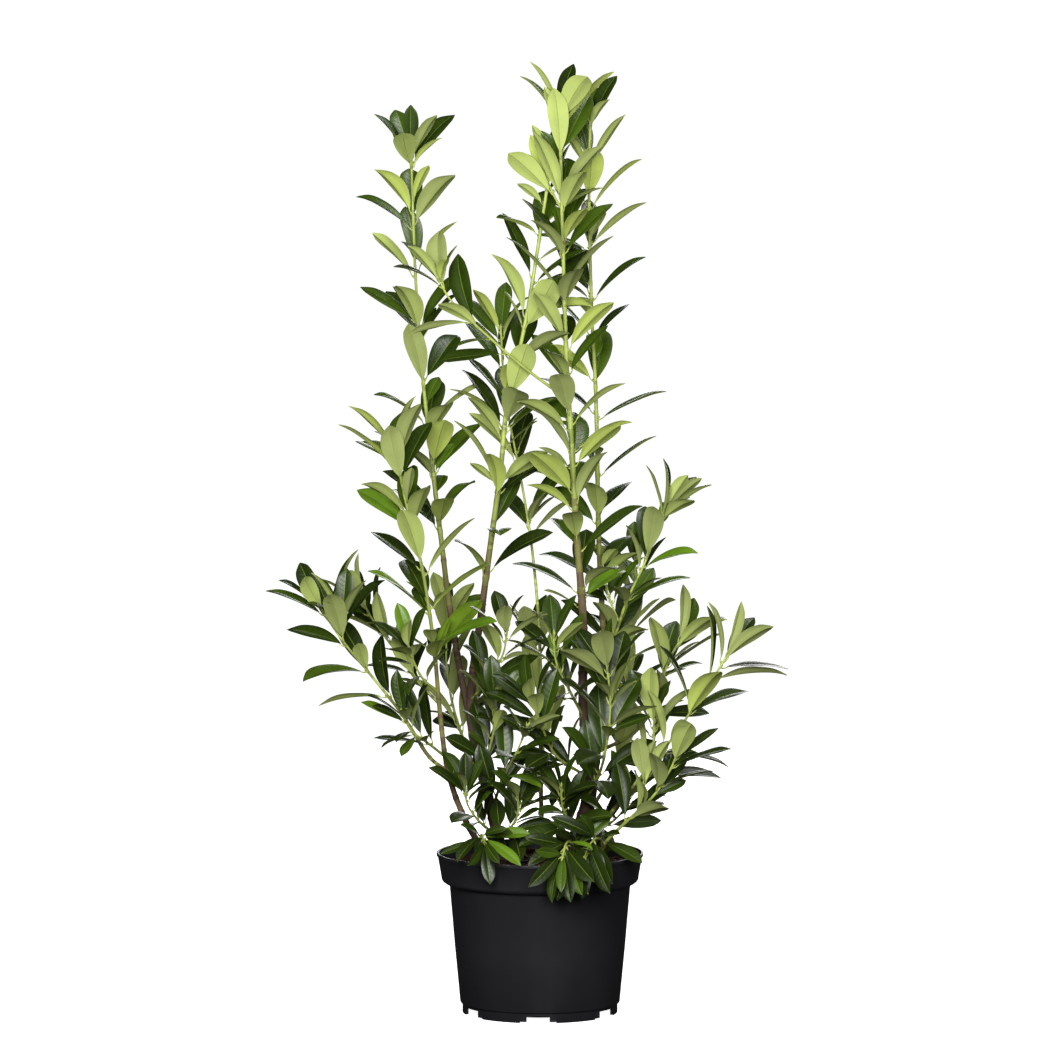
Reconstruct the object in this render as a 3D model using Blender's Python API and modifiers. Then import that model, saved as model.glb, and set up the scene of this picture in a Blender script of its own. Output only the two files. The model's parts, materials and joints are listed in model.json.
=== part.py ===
"""A cherry laurel hedging plant in a ten-litre nursery pot, as faceted solids.

Metres, +Z up, the pot's axis on Z, its feet on z = 0. Front is -Y.
The pot and the compost are turned shapes. Each woody stem is one tapering tube from a flat cut
at the compost up to where its leaves begin. Each mass of foliage goes on from there as a
green shoot with its side twigs and leaves, fused into one closed body.
"""

import math

import bmesh
import bpy
import numpy as np
from mathutils import Matrix
from mathutils.bvhtree import BVHTree

# ------------------------------------------------------------------ named sizes (metres)
POT_HEIGHT = 0.218
RIM_RADIUS = 0.140
RIM_BEAD = 0.004
BAND_FOOT_RADIUS = 0.1335
BAND_HEIGHT = 0.034
SHOULDER_DROP = 0.0078
BODY_TOP_RADIUS = 0.1225
BODY_FOOT_RADIUS = 0.108
BASE_RING_RADIUS = 0.105
BASE_RING_HEIGHT = 0.013
WALL = 0.0024
EDGE = 0.0012
BEAD_STEP = 0.0016
CORNER_CUT = 0.004
FLOOR_UNDERSIDE = 0.0112
HUB_RADIUS = 0.030
NOTCHES = 6
NOTCH_WIDTH = 0.031
NOTCH_HEIGHT = 0.0103
NOTCH_SLANT = 0.0012
NOTCH_DEPTH = 0.030
NOTCH_TURN = -1.5
DRAIN_RADIUS = 0.007
DRAIN_RING = 0.082
DRAIN_DEPTH = 0.016
CUT_PAST = 0.004
SOIL = 0.205
BED_FLAT, BED_EDGE_DROP = 0.112, 0.004
BED_BEND, BED_BEND_DROP = 0.126, 0.0012
CLEAR = 0.0003
SEAT_CLEAR = 1.12 * CLEAR
LEAF_ROOM = 0.002
GUARD_INSET = 0.007
POT_STEPS, GUARD_STEPS = 40, 24

# A stem's rings stand as far apart as its bends let them, from the first of these gaps down to the last.
RING_GAPS = (0.050, 0.036, 0.026, 0.018, 0.012, 0.008)
RING_SLACK = 0.0004
TRUNK_SIDES, BOUGH_SIDES, SHOOT_SIDES, TWIG_SIDES = 8, 6, 5, 3
THICK_SHOOT = 0.003
GIRTH_FALL = 1.8
TWIG_SWELL, TWIG_TIP = 1.35, 0.0012
TWIG_FOOT, TWIG_ROOM, TWIG_FLOOR = 0.010, 0.003, 0.222
BARE_FOOT = 0.021
FLARE_SHARE, FLARE_FADE, FLARE_RINGS = 0.30, 0.014, (0.0025, 0.008, 0.020)

# Leaves: as thick as this share of the length, widest at this share of it, and turned by this from one to the next.
LEAF_THICK = 0.021
LEAF_WIDEST = 0.58
LEAF_SPINE, LEAF_HALF, EDGE_RISE = 0.46, 0.56, 0.95
LEAF_ROOT = 0.45
GOLDEN = math.radians(137.5)
# The least and the most of what differs from leaf to leaf: its length as a share of its mass's, then its
# width, its bend along the length and its fold across it as shares of its own length or half width.
LEAF_SPREAD = (0.92, 1.16)
LEAF_SLIM = (0.27, 0.37)
LEAF_BEND = (0.02, 0.07)
LEAF_FOLD = (0.10, 0.35)
LEAF_ROLL = 15
# A leaf's face looks along its stem, and on a level stem more to the sky.
SKY_PULL, SKY_LEAST = 0.9, 0.15
REACH = 1.25
LEAF_CLEAR = 0.0009
LEAF_TRIES = 7
# How far a leaf's turn (radians) and lean (degrees) stray on its first try, what each new try adds to that,
# and how much shorter each new try makes it.
TURN_STRAY, TURN_MORE = 0.12, 0.10
LEAN_STRAY, LEAN_MORE, LEAN_WANDER = 4, 2, 7
TRY_SHRINK = 0.03
# A whorl's gap strays by these shares, and its leaves stand this far apart along the stem.
GAP_SPREAD, WHORL_STEP = (0.7, 1.3), (0.0055, 0.0085)
# The crown at a tip: its leaves from the lowest up, each one more upright and shorter than the last.
CROWN_LEAVES, SMALL_CROWN = 5, 4
CROWN_LENGTH, CROWN_STEP = 0.020, 0.0038
CROWN_LEAN, CROWN_LEAN_STEP, CROWN_SHRINK, CROWN_DROOP = 1.55, 0.20, 0.05, 0.6
PLAIN_END = 0.004
# Side twigs: where along its share of the shoot one starts, its lean in degrees, its length and its thickest foot.
TWIG_TRIES, TWIG_SHARE, TWIG_SPOT = 6, 0.86, (0.15, 0.85)
TWIG_LEAN, TWIG_SPREAD, TWIG_THICKEST = (38, 56), (0.75, 1.3), 0.0019
# How a side twig and the long one are clothed: first leaf as a share of the length, leaf size as a share of the
# mass's, lean at the foot and at the tip, leaves in a whorl and the gap between whorls.
SPRIG = (0.50, 0.90, 50, 26, 2, 0.014)
LONG_SPRIG = (0.30, 0.86, 46, 24, 2, 0.042)
LONG_TWIG_FOOT = 0.0022
# A leaf over the pot ends above the rim. Past the rim by this much it may hang, on a stem that droops sooner.
HANG_PAST_RIM, DROOP_PAST_RIM = 0.025, 0.010
DROOP_SPREAD, HANG_SLIM = (0.6, 1.4), 0.85
OVER_POT, HANG_FLOOR = POT_HEIGHT - 0.004, 0.120

# name: (colour, roughness)
FINISHES = {
    "pot_plastic": ((0.016, 0.016, 0.018), 0.42),
    "compost": ((0.060, 0.030, 0.018), 0.95),
    "bark": ((0.150, 0.110, 0.060), 0.80),
    "leaves": ((0.060, 0.130, 0.035), 0.38),
}


# ------------------------------------------------------------------ vectors and lines
def unit(v):
    return v / max(float(np.linalg.norm(v)), 1e-12)


def square_to(v, axis):
    """The part of v at right angles to axis, at length one."""
    return unit(v - axis * float(np.dot(v, axis)))


class Path:
    """A smooth line through a few points, measured along its length, with a frame that does not twist."""

    def __init__(self, points, step=0.006):
        p = np.array(points, float)
        ends = np.vstack([2 * p[0] - p[1], p, 2 * p[-1] - p[-2]])
        rows = []
        for a, b, c, d in zip(ends, ends[1:], ends[2:], ends[3:]):
            count = max(2, int(np.linalg.norm(c - b) / step))
            t = np.linspace(0, 1, count, endpoint=False)[:, None]
            rows.append(0.5 * (2 * b + (c - a) * t + (2 * a - 5 * b + 4 * c - d) * t**2
                               + (3 * b - a - 3 * c + d) * t**3))
        self.line = np.vstack(rows + [p[-1:]])
        legs = np.linalg.norm(np.diff(self.line, axis=0), axis=1)
        self.mark = np.concatenate([[0.0], np.cumsum(legs)])
        self.length = float(self.mark[-1])
        tangent = np.gradient(self.line, axis=0)
        self.tangent = tangent / np.linalg.norm(tangent, axis=1)[:, None]
        side = square_to(np.array([1.0, 0.13, 0.07]), self.tangent[0])
        sides = [side]
        for t in self.tangent[1:]:
            side = square_to(side, t)
            sides.append(side)
        self.side = np.array(sides)

    def pick(self, rows, s):
        return np.array([np.interp(s, self.mark, rows[:, k]) for k in range(3)])

    def at(self, s):
        return self.pick(self.line, s)

    def along(self, s):
        return unit(self.pick(self.tangent, s))

    def out(self, s, turn):
        """Unit vector square to the line at s, turned about it."""
        t = self.along(s)
        u = square_to(self.pick(self.side, s), t)
        return math.cos(turn) * u + math.sin(turn) * np.cross(t, u)

    def at_height(self, z):
        return float(np.interp(z, np.maximum.accumulate(self.line[:, 2]), self.mark))

    def distance(self, point):
        return float(np.linalg.norm(self.line - point, axis=1).min())


# ------------------------------------------------------------------ plain shapes
def leaf_solid(leaf, spare=0.0, skip=0.0):
    """(points, faces) of an eight-faced leaf: base, two edges, tip, ridge and keel."""
    base, d, up = leaf["base"], leaf["dir"], leaf["up"]
    side = np.cross(d, up)
    length, half = leaf["length"], LEAF_HALF * leaf["width"] + spare
    thick = LEAF_THICK * length / 2 + spare
    rise = leaf["camber"] * length
    start = base + d * (skip if skip else -LEAF_ROOT * leaf["radius"])
    spine = base + d * LEAF_SPINE * length + up * rise
    wide = base + d * LEAF_WIDEST * length + up * (rise * EDGE_RISE + leaf["fold"] * half)
    points = [start, wide + side * half, base + d * (length + spare), wide - side * half,
              spine + up * thick, spine - up * thick]
    faces = []
    for a, b in ((0, 1), (1, 2), (2, 3), (3, 0)):
        faces += [(a, b, 4), (b, a, 5)]
    return points, faces


def collection_of(name):
    found = bpy.data.collections.get(name)
    if not found:
        found = bpy.data.collections.new(name)
        bpy.context.scene.collection.children.link(found)
    return found


def helper(obj):
    """Keeps a cutter or a section out of the finished part."""
    collection_of("cutters").objects.link(obj)
    obj.hide_render, obj.display_type = True, "WIRE"
    return obj


def remove(obj):
    data = obj.data
    bpy.data.objects.remove(obj, do_unlink=True)
    (bpy.data.curves if isinstance(data, bpy.types.Curve) else bpy.data.meshes).remove(data)


def evaluated_mesh(obj):
    """The object's mesh after its modifiers, or swept from its curve."""
    bpy.context.view_layer.update()
    return bpy.data.meshes.new_from_object(obj.evaluated_get(bpy.context.evaluated_depsgraph_get()))


def shape_of(mesh):
    """(points, faces) of a mesh that is only wanted for its shape."""
    shape = [v.co[:] for v in mesh.vertices], [tuple(p.vertices) for p in mesh.polygons]
    bpy.data.meshes.remove(mesh)
    return shape


def turned(name, profile, steps):
    """A profile of (radius, height) turned about Z. It starts on the axis and runs down its outer side."""
    mesh = bpy.data.meshes.new(name)
    mesh.from_pydata([(r, 0, z) for r, z in profile], [(k, k + 1) for k in range(len(profile) - 1)], [])
    obj = bpy.data.objects.new(name, mesh)
    screw = obj.modifiers.new("turn", "SCREW")
    screw.steps = screw.render_steps = steps
    screw.use_merge_vertices, screw.merge_threshold = True, 1e-5
    screw.use_smooth_shade = True
    return obj


def section(sides):
    """The loop of radius one that a stem's curve sweeps along itself."""
    name = "section_of_%d" % sides
    if name in bpy.data.objects:
        return bpy.data.objects[name]
    curve = bpy.data.curves.new(name, "CURVE")
    spline = curve.splines.new("POLY")
    spline.points.add(sides - 1)
    for k, point in enumerate(spline.points):
        a = 2 * math.pi * k / sides
        point.co = (math.cos(a), -math.sin(a), 0, 1)
    spline.use_cyclic_u = True
    return helper(bpy.data.objects.new(name, curve))


def ring_marks(path, start, end, radius):
    """Where the rings of a tube go: close together on a bend, far apart on a straight run."""
    marks = [start]
    while marks[-1] < end:
        s = marks[-1]
        slack = min(RING_SLACK, 0.2 * radius(s))
        for gap in RING_GAPS:
            stop = end if s + 1.3 * gap >= end else s + gap
            a, b = path.at(s), path.at(stop)
            off = max(float(np.linalg.norm(path.at(s + (stop - s) * f) - a - (b - a) * f))
                      for f in (0.25, 0.5, 0.75))
            if off < slack:
                break
        marks.append(stop)
    return marks


def tube_mesh(path, start, end, radius, sides, flare=0.0, spare=0.0):
    """A closed tapering tube along part of a path. One that flares stands on a level foot."""
    marks = ring_marks(path, start, end, radius)
    if flare:
        rings = [start + rise for rise in FLARE_RINGS]
        marks = [start] + rings + [s for s in marks[1:] if s > rings[-1] + RING_GAPS[-1] or s == end]
    rows = [path.at(s) for s in marks]
    if flare:
        rows[1] = rows[0] + np.array([0.0, 0.0, FLARE_RINGS[0]])
    curve = bpy.data.curves.new("tube", "CURVE")
    curve.dimensions, curve.use_fill_caps = "3D", True
    curve.bevel_mode, curve.bevel_object = "OBJECT", section(sides)
    spline = curve.splines.new("POLY")
    spline.points.add(len(rows) - 1)
    for point, row, s in zip(spline.points, rows, marks):
        point.co = (*row, 1)
        point.radius = radius(s) + flare * math.exp(-(s - start) / FLARE_FADE) + spare
    obj = helper(bpy.data.objects.new("tube", curve))
    mesh = evaluated_mesh(obj)
    remove(obj)
    work = bmesh.new()
    work.from_mesh(mesh)
    bmesh.ops.remove_doubles(work, verts=work.verts, dist=1e-6)
    work.to_mesh(mesh)
    work.free()
    return mesh


# ------------------------------------------------------------------ what is already standing
class Standing:
    """Every tube and leaf placed so far, so that a new one can be kept clear of them."""

    def __init__(self):
        self.low, self.high, self.trees, self.owner = [], [], [], []

    def tree(self, shape):
        points, faces = shape
        return BVHTree.FromPolygons([tuple(p) for p in points], faces)

    def add(self, shape, owner):
        points = np.array(shape[0])
        self.low.append(points.min(axis=0))
        self.high.append(points.max(axis=0))
        self.trees.append(self.tree(shape))
        self.owner.append(owner)

    def clear(self, shape, leave_out=()):
        """True when the shape crosses nothing that stands, apart from what the named owners hold."""
        if not self.trees:
            return True
        points = np.array(shape[0])
        near = (np.array(self.low) < points.max(axis=0)).all(axis=1)
        near &= (np.array(self.high) > points.min(axis=0)).all(axis=1)
        tree = None
        for i in np.flatnonzero(near):
            if self.owner[i] in leave_out:
                continue
            tree = tree or self.tree(shape)
            if tree.overlap(self.trees[i]):
                return False
        return True


# ------------------------------------------------------------------ the stems
# name: (parent, height on it, points, radius at foot, radius at tip)
STEMS = {
    "middle": (None, 0, ((-0.050, 0.020, SOIL), (-0.069, 0.030, 0.285), (-0.094, 0.040, 0.404),
               (-0.077, 0.030, 0.558), (-0.054, 0.020, 0.728), (-0.045, 0.020, 0.816),
               (-0.018, 0.020, 0.944), (0.007, 0.030, 1.099), (0.012, 0.030, 1.140)), 0.0078, 0.0022),
    "left_tall": ("middle", 0.398, ((-0.104, 0.050, 0.435), (-0.122, 0.060, 0.541),
                  (-0.134, 0.065, 0.636), (-0.146, 0.070, 0.737), (-0.161, 0.070, 0.880),
                  (-0.169, 0.065, 1.009), (-0.174, 0.060, 1.160)), 0.0052, 0.0017),
    "front_left": (None, 0, ((-0.068, -0.010, SOIL), (-0.104, -0.020, 0.271),
                   (-0.125, -0.030, 0.336), (-0.135, -0.040, 0.416), (-0.142, -0.050, 0.498),
                   (-0.153, -0.055, 0.580), (-0.165, -0.060, 0.641), (-0.182, -0.060, 0.708),
                   (-0.192, -0.055, 0.768)), 0.0048, 0.0019),
    "right": (None, 0, ((0.035, 0.020, SOIL), (0.065, 0.010, 0.298), (0.058, 0.000, 0.425),
              (0.058, 0.000, 0.533), (0.050, 0.000, 0.642), (0.042, 0.000, 0.777),
              (0.035, 0.000, 0.898), (0.029, 0.000, 1.100), (0.026, -0.002, 1.216)), 0.0088, 0.0022),
    "back_right": (None, 0, ((0.057, 0.060, SOIL), (0.074, 0.070, 0.307), (0.086, 0.080, 0.470),
                   (0.080, 0.080, 0.634), (0.076, 0.075, 0.825), (0.070, 0.070, 0.948),
                   (0.066, 0.060, 1.111), (0.068, 0.060, 1.210)), 0.0062, 0.0019),
    "thin": (None, 0, ((0.004, 0.045, SOIL), (0.001, 0.040, 0.311), (0.000, 0.035, 0.489),
             (-0.009, 0.050, 0.610), (-0.023, 0.060, 0.704), (-0.046, 0.065, 0.826),
             (-0.053, 0.060, 0.920)), 0.0034, 0.0014),
    "left_low": ("front_left", 0.331, ((-0.151, -0.035, 0.354), (-0.184, -0.050, 0.409),
                 (-0.222, -0.060, 0.459), (-0.264, -0.070, 0.512), (-0.296, -0.070, 0.560)),
                 0.0030, 0.0014),
    "left_mid": ("front_left", 0.425, ((-0.164, -0.030, 0.453), (-0.198, -0.010, 0.497),
                 (-0.227, 0.000, 0.536), (-0.239, 0.005, 0.556)), 0.0026, 0.0013),
    "left_small": ("front_left", 0.440, ((-0.158, -0.065, 0.462), (-0.170, -0.082, 0.488),
                   (-0.177, -0.092, 0.510)), 0.0022, 0.0012),
    "right_low": (None, 0, ((0.065, -0.012, SOIL), (0.080, -0.018, 0.250), (0.110, -0.030, 0.293),
                  (0.155, -0.050, 0.349), (0.190, -0.060, 0.398), (0.221, -0.060, 0.445),
                  (0.252, -0.055, 0.492)), 0.0036, 0.0014),
    "right_lowest": (None, 0, ((0.074, -0.038, SOIL), (0.090, -0.052, 0.240),
                     (0.124, -0.070, 0.276), (0.155, -0.085, 0.309), (0.174, -0.092, 0.341),
                     (0.183, -0.094, 0.362)), 0.0030, 0.0014),
    "right_mid": ("back_right", 0.345, ((0.129, 0.058, 0.374), (0.158, 0.065, 0.417),
                  (0.174, 0.070, 0.469), (0.195, 0.075, 0.504)), 0.0028, 0.0014),
    "right_rise": ("back_right", 0.410, ((0.092, 0.052, 0.466), (0.114, 0.030, 0.547),
                   (0.142, 0.020, 0.610), (0.159, 0.020, 0.654), (0.171, 0.020, 0.686)),
                   0.0030, 0.0014),
    "front_right": ("right", 0.290, ((0.082, -0.035, 0.335), (0.091, -0.068, 0.385),
                    (0.094, -0.085, 0.435), (0.089, -0.092, 0.482)), 0.0026, 0.0013),
    "centre_a": ("right", 0.318, ((0.021, -0.050, 0.356), (0.000, -0.085, 0.405),
                 (-0.014, -0.100, 0.440)), 0.0024, 0.0013),
    "centre_b": ("middle", 0.270, ((-0.050, -0.030, 0.322), (-0.030, -0.070, 0.366),
                 (-0.018, -0.088, 0.398)), 0.0022, 0.0012),
    "low_left": ("middle", 0.236, ((-0.082, -0.018, 0.262), (-0.098, -0.050, 0.290),
                 (-0.100, -0.070, 0.316)), 0.0022, 0.0012),
    "low_right": ("right", 0.240, ((0.040, -0.030, 0.262), (0.030, -0.065, 0.288),
                  (0.028, -0.085, 0.316)), 0.0022, 0.0012),
    "left_base": ("front_left", 0.352, ((-0.150, -0.052, 0.372), (-0.172, -0.078, 0.392),
                  (-0.184, -0.094, 0.416)), 0.0022, 0.0012),
    "middle_base": ("middle", 0.318, ((-0.070, -0.004, 0.352), (-0.062, -0.036, 0.392),
                    (-0.062, -0.050, 0.430)), 0.0024, 0.0012),
    "middle_side": ("middle", 0.420, ((-0.070, -0.002, 0.452), (-0.050, -0.030, 0.490),
                    (-0.044, -0.040, 0.525)), 0.0022, 0.0012),
    "right_base": ("back_right", 0.232, ((0.092, 0.036, 0.250), (0.112, 0.012, 0.272),
                   (0.124, 0.002, 0.298)), 0.0022, 0.0012),
    "low_mid": ("middle", 0.228, ((-0.040, -0.014, 0.252), (-0.030, -0.042, 0.276),
                (-0.030, -0.060, 0.302)), 0.0022, 0.0012),
    "right_side": ("right", 0.400, ((0.040, -0.024, 0.440), (0.022, -0.046, 0.480),
                   (0.018, -0.056, 0.515)), 0.0022, 0.0012),
    "pot_left": ("front_left", 0.224, ((-0.080, -0.050, 0.244), (-0.078, -0.095, 0.254),
                 (-0.074, -0.126, 0.248)), 0.0020, 0.0012),
    "pot_front": (None, 0, ((0.046, -0.020, SOIL), (0.045, -0.055, 0.228), (0.040, -0.098, 0.246),
                  (0.034, -0.134, 0.246), (0.030, -0.156, 0.234)), 0.0021, 0.0013),
    "pot_right": ("right_lowest", 0.230, ((0.082, -0.074, 0.244), (0.074, -0.104, 0.250),
                  (0.066, -0.130, 0.245), (0.060, -0.148, 0.233)), 0.0020, 0.0012),
    "back_left": ("middle", 0.300, ((-0.098, 0.085, 0.345), (-0.118, 0.122, 0.400),
                  (-0.128, 0.145, 0.460), (-0.126, 0.160, 0.520)), 0.0028, 0.0013),
    "back_mid": ("thin", 0.290, ((0.005, 0.090, 0.335), (0.002, 0.130, 0.385),
                 (-0.006, 0.158, 0.440), (-0.010, 0.170, 0.490)), 0.0022, 0.0012),
    "back_low": ("back_right", 0.262, ((0.092, 0.108, 0.300), (0.112, 0.145, 0.338),
                 (0.122, 0.172, 0.385), (0.120, 0.190, 0.430)), 0.0026, 0.0013),
    "back_far": ("back_right", 0.395, ((0.108, 0.115, 0.435), (0.124, 0.148, 0.490),
                 (0.132, 0.165, 0.550), (0.130, 0.170, 0.600)), 0.0026, 0.0013),
}

# The length of each stem that is bare wood: the rest of it is the shoot inside a mass of foliage.
BARE = {
    "middle": 0.38, "left_tall": 0.30, "front_left": 0.455, "right": 0.33, "back_right": 0.33,
    "thin": 0.55, "left_low": 0.36, "right_low": 0.36, "right_lowest": 0.30, "right_mid": 0.30,
    "right_rise": 0.22, "pot_front": 0.22, "back_left": 0.30, "back_mid": 0.30, "back_low": 0.30,
    "back_far": 0.30,
}
LIMB_NAMES = {
    "middle": "trunk_middle", "right": "trunk_right", "back_right": "trunk_back_right",
    "front_left": "trunk_front_left", "thin": "trunk_thin", "left_tall": "bough_left_tall",
}

# mass: (stem, from, to, leaf length, leaves in a whorl, gap between whorls,
#        lean of the leaves at its foot and at its tip in degrees, side twigs, their length, seed)
FOLIAGE = {
    "right_top": ("right", 0.79, 1.00, 0.095, 4, 0.034, 54, 28, 1, 0.045, 144),
    "left_tall_upper": ("left_tall", 0.64, 1.00, 0.094, 4, 0.044, 52, 36, 0, 0.04, 51),
    "back_right_top": ("back_right", 0.79, 1.00, 0.092, 4, 0.036, 58, 34, 0, 0.045, 20),
    "middle_upper": ("middle", 0.64, 1.00, 0.094, 3, 0.036, 54, 32, 0, 0.05, 112),
    "right_middle": ("right", 0.56, 0.79, 0.099, 4, 0.034, 60, 50, 0, 0.05, 21),
    "back_right_middle": ("back_right", 0.56, 0.79, 0.096, 3, 0.036, 62, 54, 0, 0.05, 42),
    "left_tall_lower": ("left_tall", 0.30, 0.64, 0.097, 3, 0.042, 58, 48, 0, 0.05, 144),
    "front_left": ("front_left", 0.455, 1.00, 0.101, 4, 0.036, 64, 36, 0, 0.04, 23),
    "middle_lower": ("middle", 0.38, 0.64, 0.096, 3, 0.040, 58, 50, 0, 0.06, 37),
    "right_lower": ("right", 0.33, 0.56, 0.098, 3, 0.042, 62, 54, 0, 0.06, 84),
    "back_right_lower": ("back_right", 0.33, 0.56, 0.093, 3, 0.046, 62, 54, 0, 0.06, 44),
    "thin": ("thin", 0.55, 1.00, 0.090, 3, 0.050, 52, 30, 0, 0.05, 13),
    "left_low": ("left_low", 0.36, 1.00, 0.094, 3, 0.030, 60, 32, 1, 0.045, 13),
    "left_mid": ("left_mid", 0.0, 1.00, 0.084, 3, 0.028, 60, 30, 0, 0.045, 141),
    "left_small": ("left_small", 0.0, 1.00, 0.076, 3, 0.024, 55, 30, 0, 0.04, 116),
    "right_low": ("right_low", 0.36, 1.00, 0.097, 3, 0.030, 60, 34, 1, 0.05, 61),
    "right_lowest": ("right_lowest", 0.30, 1.00, 0.078, 3, 0.024, 55, 30, 1, 0.045, 94),
    "right_mid": ("right_mid", 0.30, 1.00, 0.088, 3, 0.032, 60, 30, 0, 0.045, 76),
    "right_rise": ("right_rise", 0.22, 1.00, 0.086, 3, 0.040, 54, 32, 1, 0.05, 26),
    "front_right": ("front_right", 0.0, 1.00, 0.090, 3, 0.030, 58, 32, 0, 0.05, 147),
    "centre_a": ("centre_a", 0.0, 1.00, 0.074, 3, 0.024, 55, 30, 0, 0.04, 31),
    "centre_b": ("centre_b", 0.0, 1.00, 0.072, 3, 0.022, 55, 30, 0, 0.04, 41),
    "low_left": ("low_left", 0.0, 1.00, 0.068, 3, 0.018, 60, 34, 0, 0.03, 158),
    "low_right": ("low_right", 0.0, 1.00, 0.074, 3, 0.020, 60, 34, 0, 0.03, 97),
    "left_base": ("left_base", 0.0, 1.00, 0.078, 3, 0.020, 60, 34, 0, 0.03, 121),
    "middle_base": ("middle_base", 0.0, 1.00, 0.074, 3, 0.024, 60, 32, 0, 0.03, 3),
    "middle_side": ("middle_side", 0.0, 1.00, 0.076, 3, 0.024, 60, 32, 0, 0.03, 40),
    "right_base": ("right_base", 0.0, 1.00, 0.074, 3, 0.020, 60, 34, 0, 0.03, 80),
    "low_mid": ("low_mid", 0.0, 1.00, 0.068, 3, 0.020, 60, 34, 0, 0.03, 226),
    "right_side": ("right_side", 0.0, 1.00, 0.078, 3, 0.024, 60, 34, 0, 0.03, 103),
    "pot_left": ("pot_left", 0.0, 1.00, 0.066, 3, 0.016, 62, 36, 0, 0.03, 211),
    "pot_front": ("pot_front", 0.22, 1.00, 0.080, 4, 0.012, 68, 34, 0, 0.03, 108),
    "pot_right": ("pot_right", 0.0, 1.00, 0.074, 4, 0.012, 66, 34, 0, 0.03, 0),
    "back_left": ("back_left", 0.30, 1.00, 0.086, 3, 0.030, 58, 32, 1, 0.05, 47),
    "back_mid": ("back_mid", 0.30, 1.00, 0.082, 3, 0.030, 58, 32, 0, 0.05, 44),
    "back_low": ("back_low", 0.30, 1.00, 0.082, 3, 0.030, 58, 32, 0, 0.05, 108),
    "back_far": ("back_far", 0.30, 1.00, 0.086, 3, 0.030, 58, 32, 0, 0.05, 7),
}
# The long thin shoot that leaves the right-hand leader half way up: a twig of the mass it rises from.
LONG_TWIGS = {
    "right_middle": (0.622, ((-0.016, -0.020, 0.872), (-0.067, -0.040, 0.917),
                     (-0.118, -0.055, 0.967), (-0.138, -0.060, 1.003))),
}
# How far the leaves of the stems that hang over the pot's rim are bent down towards their tip.
DROOPING = {"pot_front": 2.0, "pot_right": 2.0, "pot_left": 1.5}


# ------------------------------------------------------------------ growth
def girth(name, path):
    """Radius along a stem: quick taper low down, slow above."""
    foot, tip = STEMS[name][3:]
    return lambda s: tip + (foot - tip) * (1 - min(max(s / path.length, 0), 1)) ** GIRTH_FALL


def all_paths():
    paths = {}
    for name, (parent, height, points, _, _) in STEMS.items():
        if parent:
            line = paths[parent]
            points = (tuple(line.at(line.at_height(height))),) + tuple(points)
        paths[name] = Path(points)
    return paths


def limb_mesh(name, path, spare=0.0):
    """A trunk from its level foot at the compost, or a bough from its parent's axis, to where its leaves begin."""
    parent, _, _, foot, _ = STEMS[name]
    end = BARE[name] * path.length
    if parent:
        return tube_mesh(path, 0.0, end, girth(name, path), BOUGH_SIDES, spare=spare)
    return tube_mesh(path, CLEAR, end, girth(name, path), TRUNK_SIDES, FLARE_SHARE * foot, spare)


def leaf_on(path, s, turn, lean, radius, size, rng):
    """One leaf as a frame: where it leaves the stem, which way it points and which way its face looks."""
    t, out = path.along(s), path.out(s, turn)
    lean = math.radians(lean)
    d = unit(math.cos(lean) * t + math.sin(lean) * out)
    level = 1 - abs(float(t[2]))
    face = square_to(t + np.array([0.0, 0.0, SKY_PULL * level + SKY_LEAST]), d)
    roll = math.radians(rng.normal(0, LEAF_ROLL))
    face = math.cos(roll) * face + math.sin(roll) * np.cross(d, face)
    length = size * rng.uniform(*LEAF_SPREAD)
    return {"base": path.at(s), "dir": d, "up": face, "length": length,
            "width": length * rng.uniform(*LEAF_SLIM), "camber": rng.uniform(*LEAF_BEND),
            "fold": rng.uniform(*LEAF_FOLD), "radius": radius}


def droop(leaf, by):
    """Bends a leaf down, and makes it a little narrower."""
    d = unit(leaf["dir"] + np.array([0.0, 0.0, -by]))
    leaf["dir"], leaf["up"] = d, square_to(leaf["up"], d)
    leaf["width"] *= HANG_SLIM


def twig_mesh(line, thin):
    return tube_mesh(line, 0.0, line.length, lambda s: TWIG_SWELL * thin(s), TWIG_SIDES)


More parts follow.
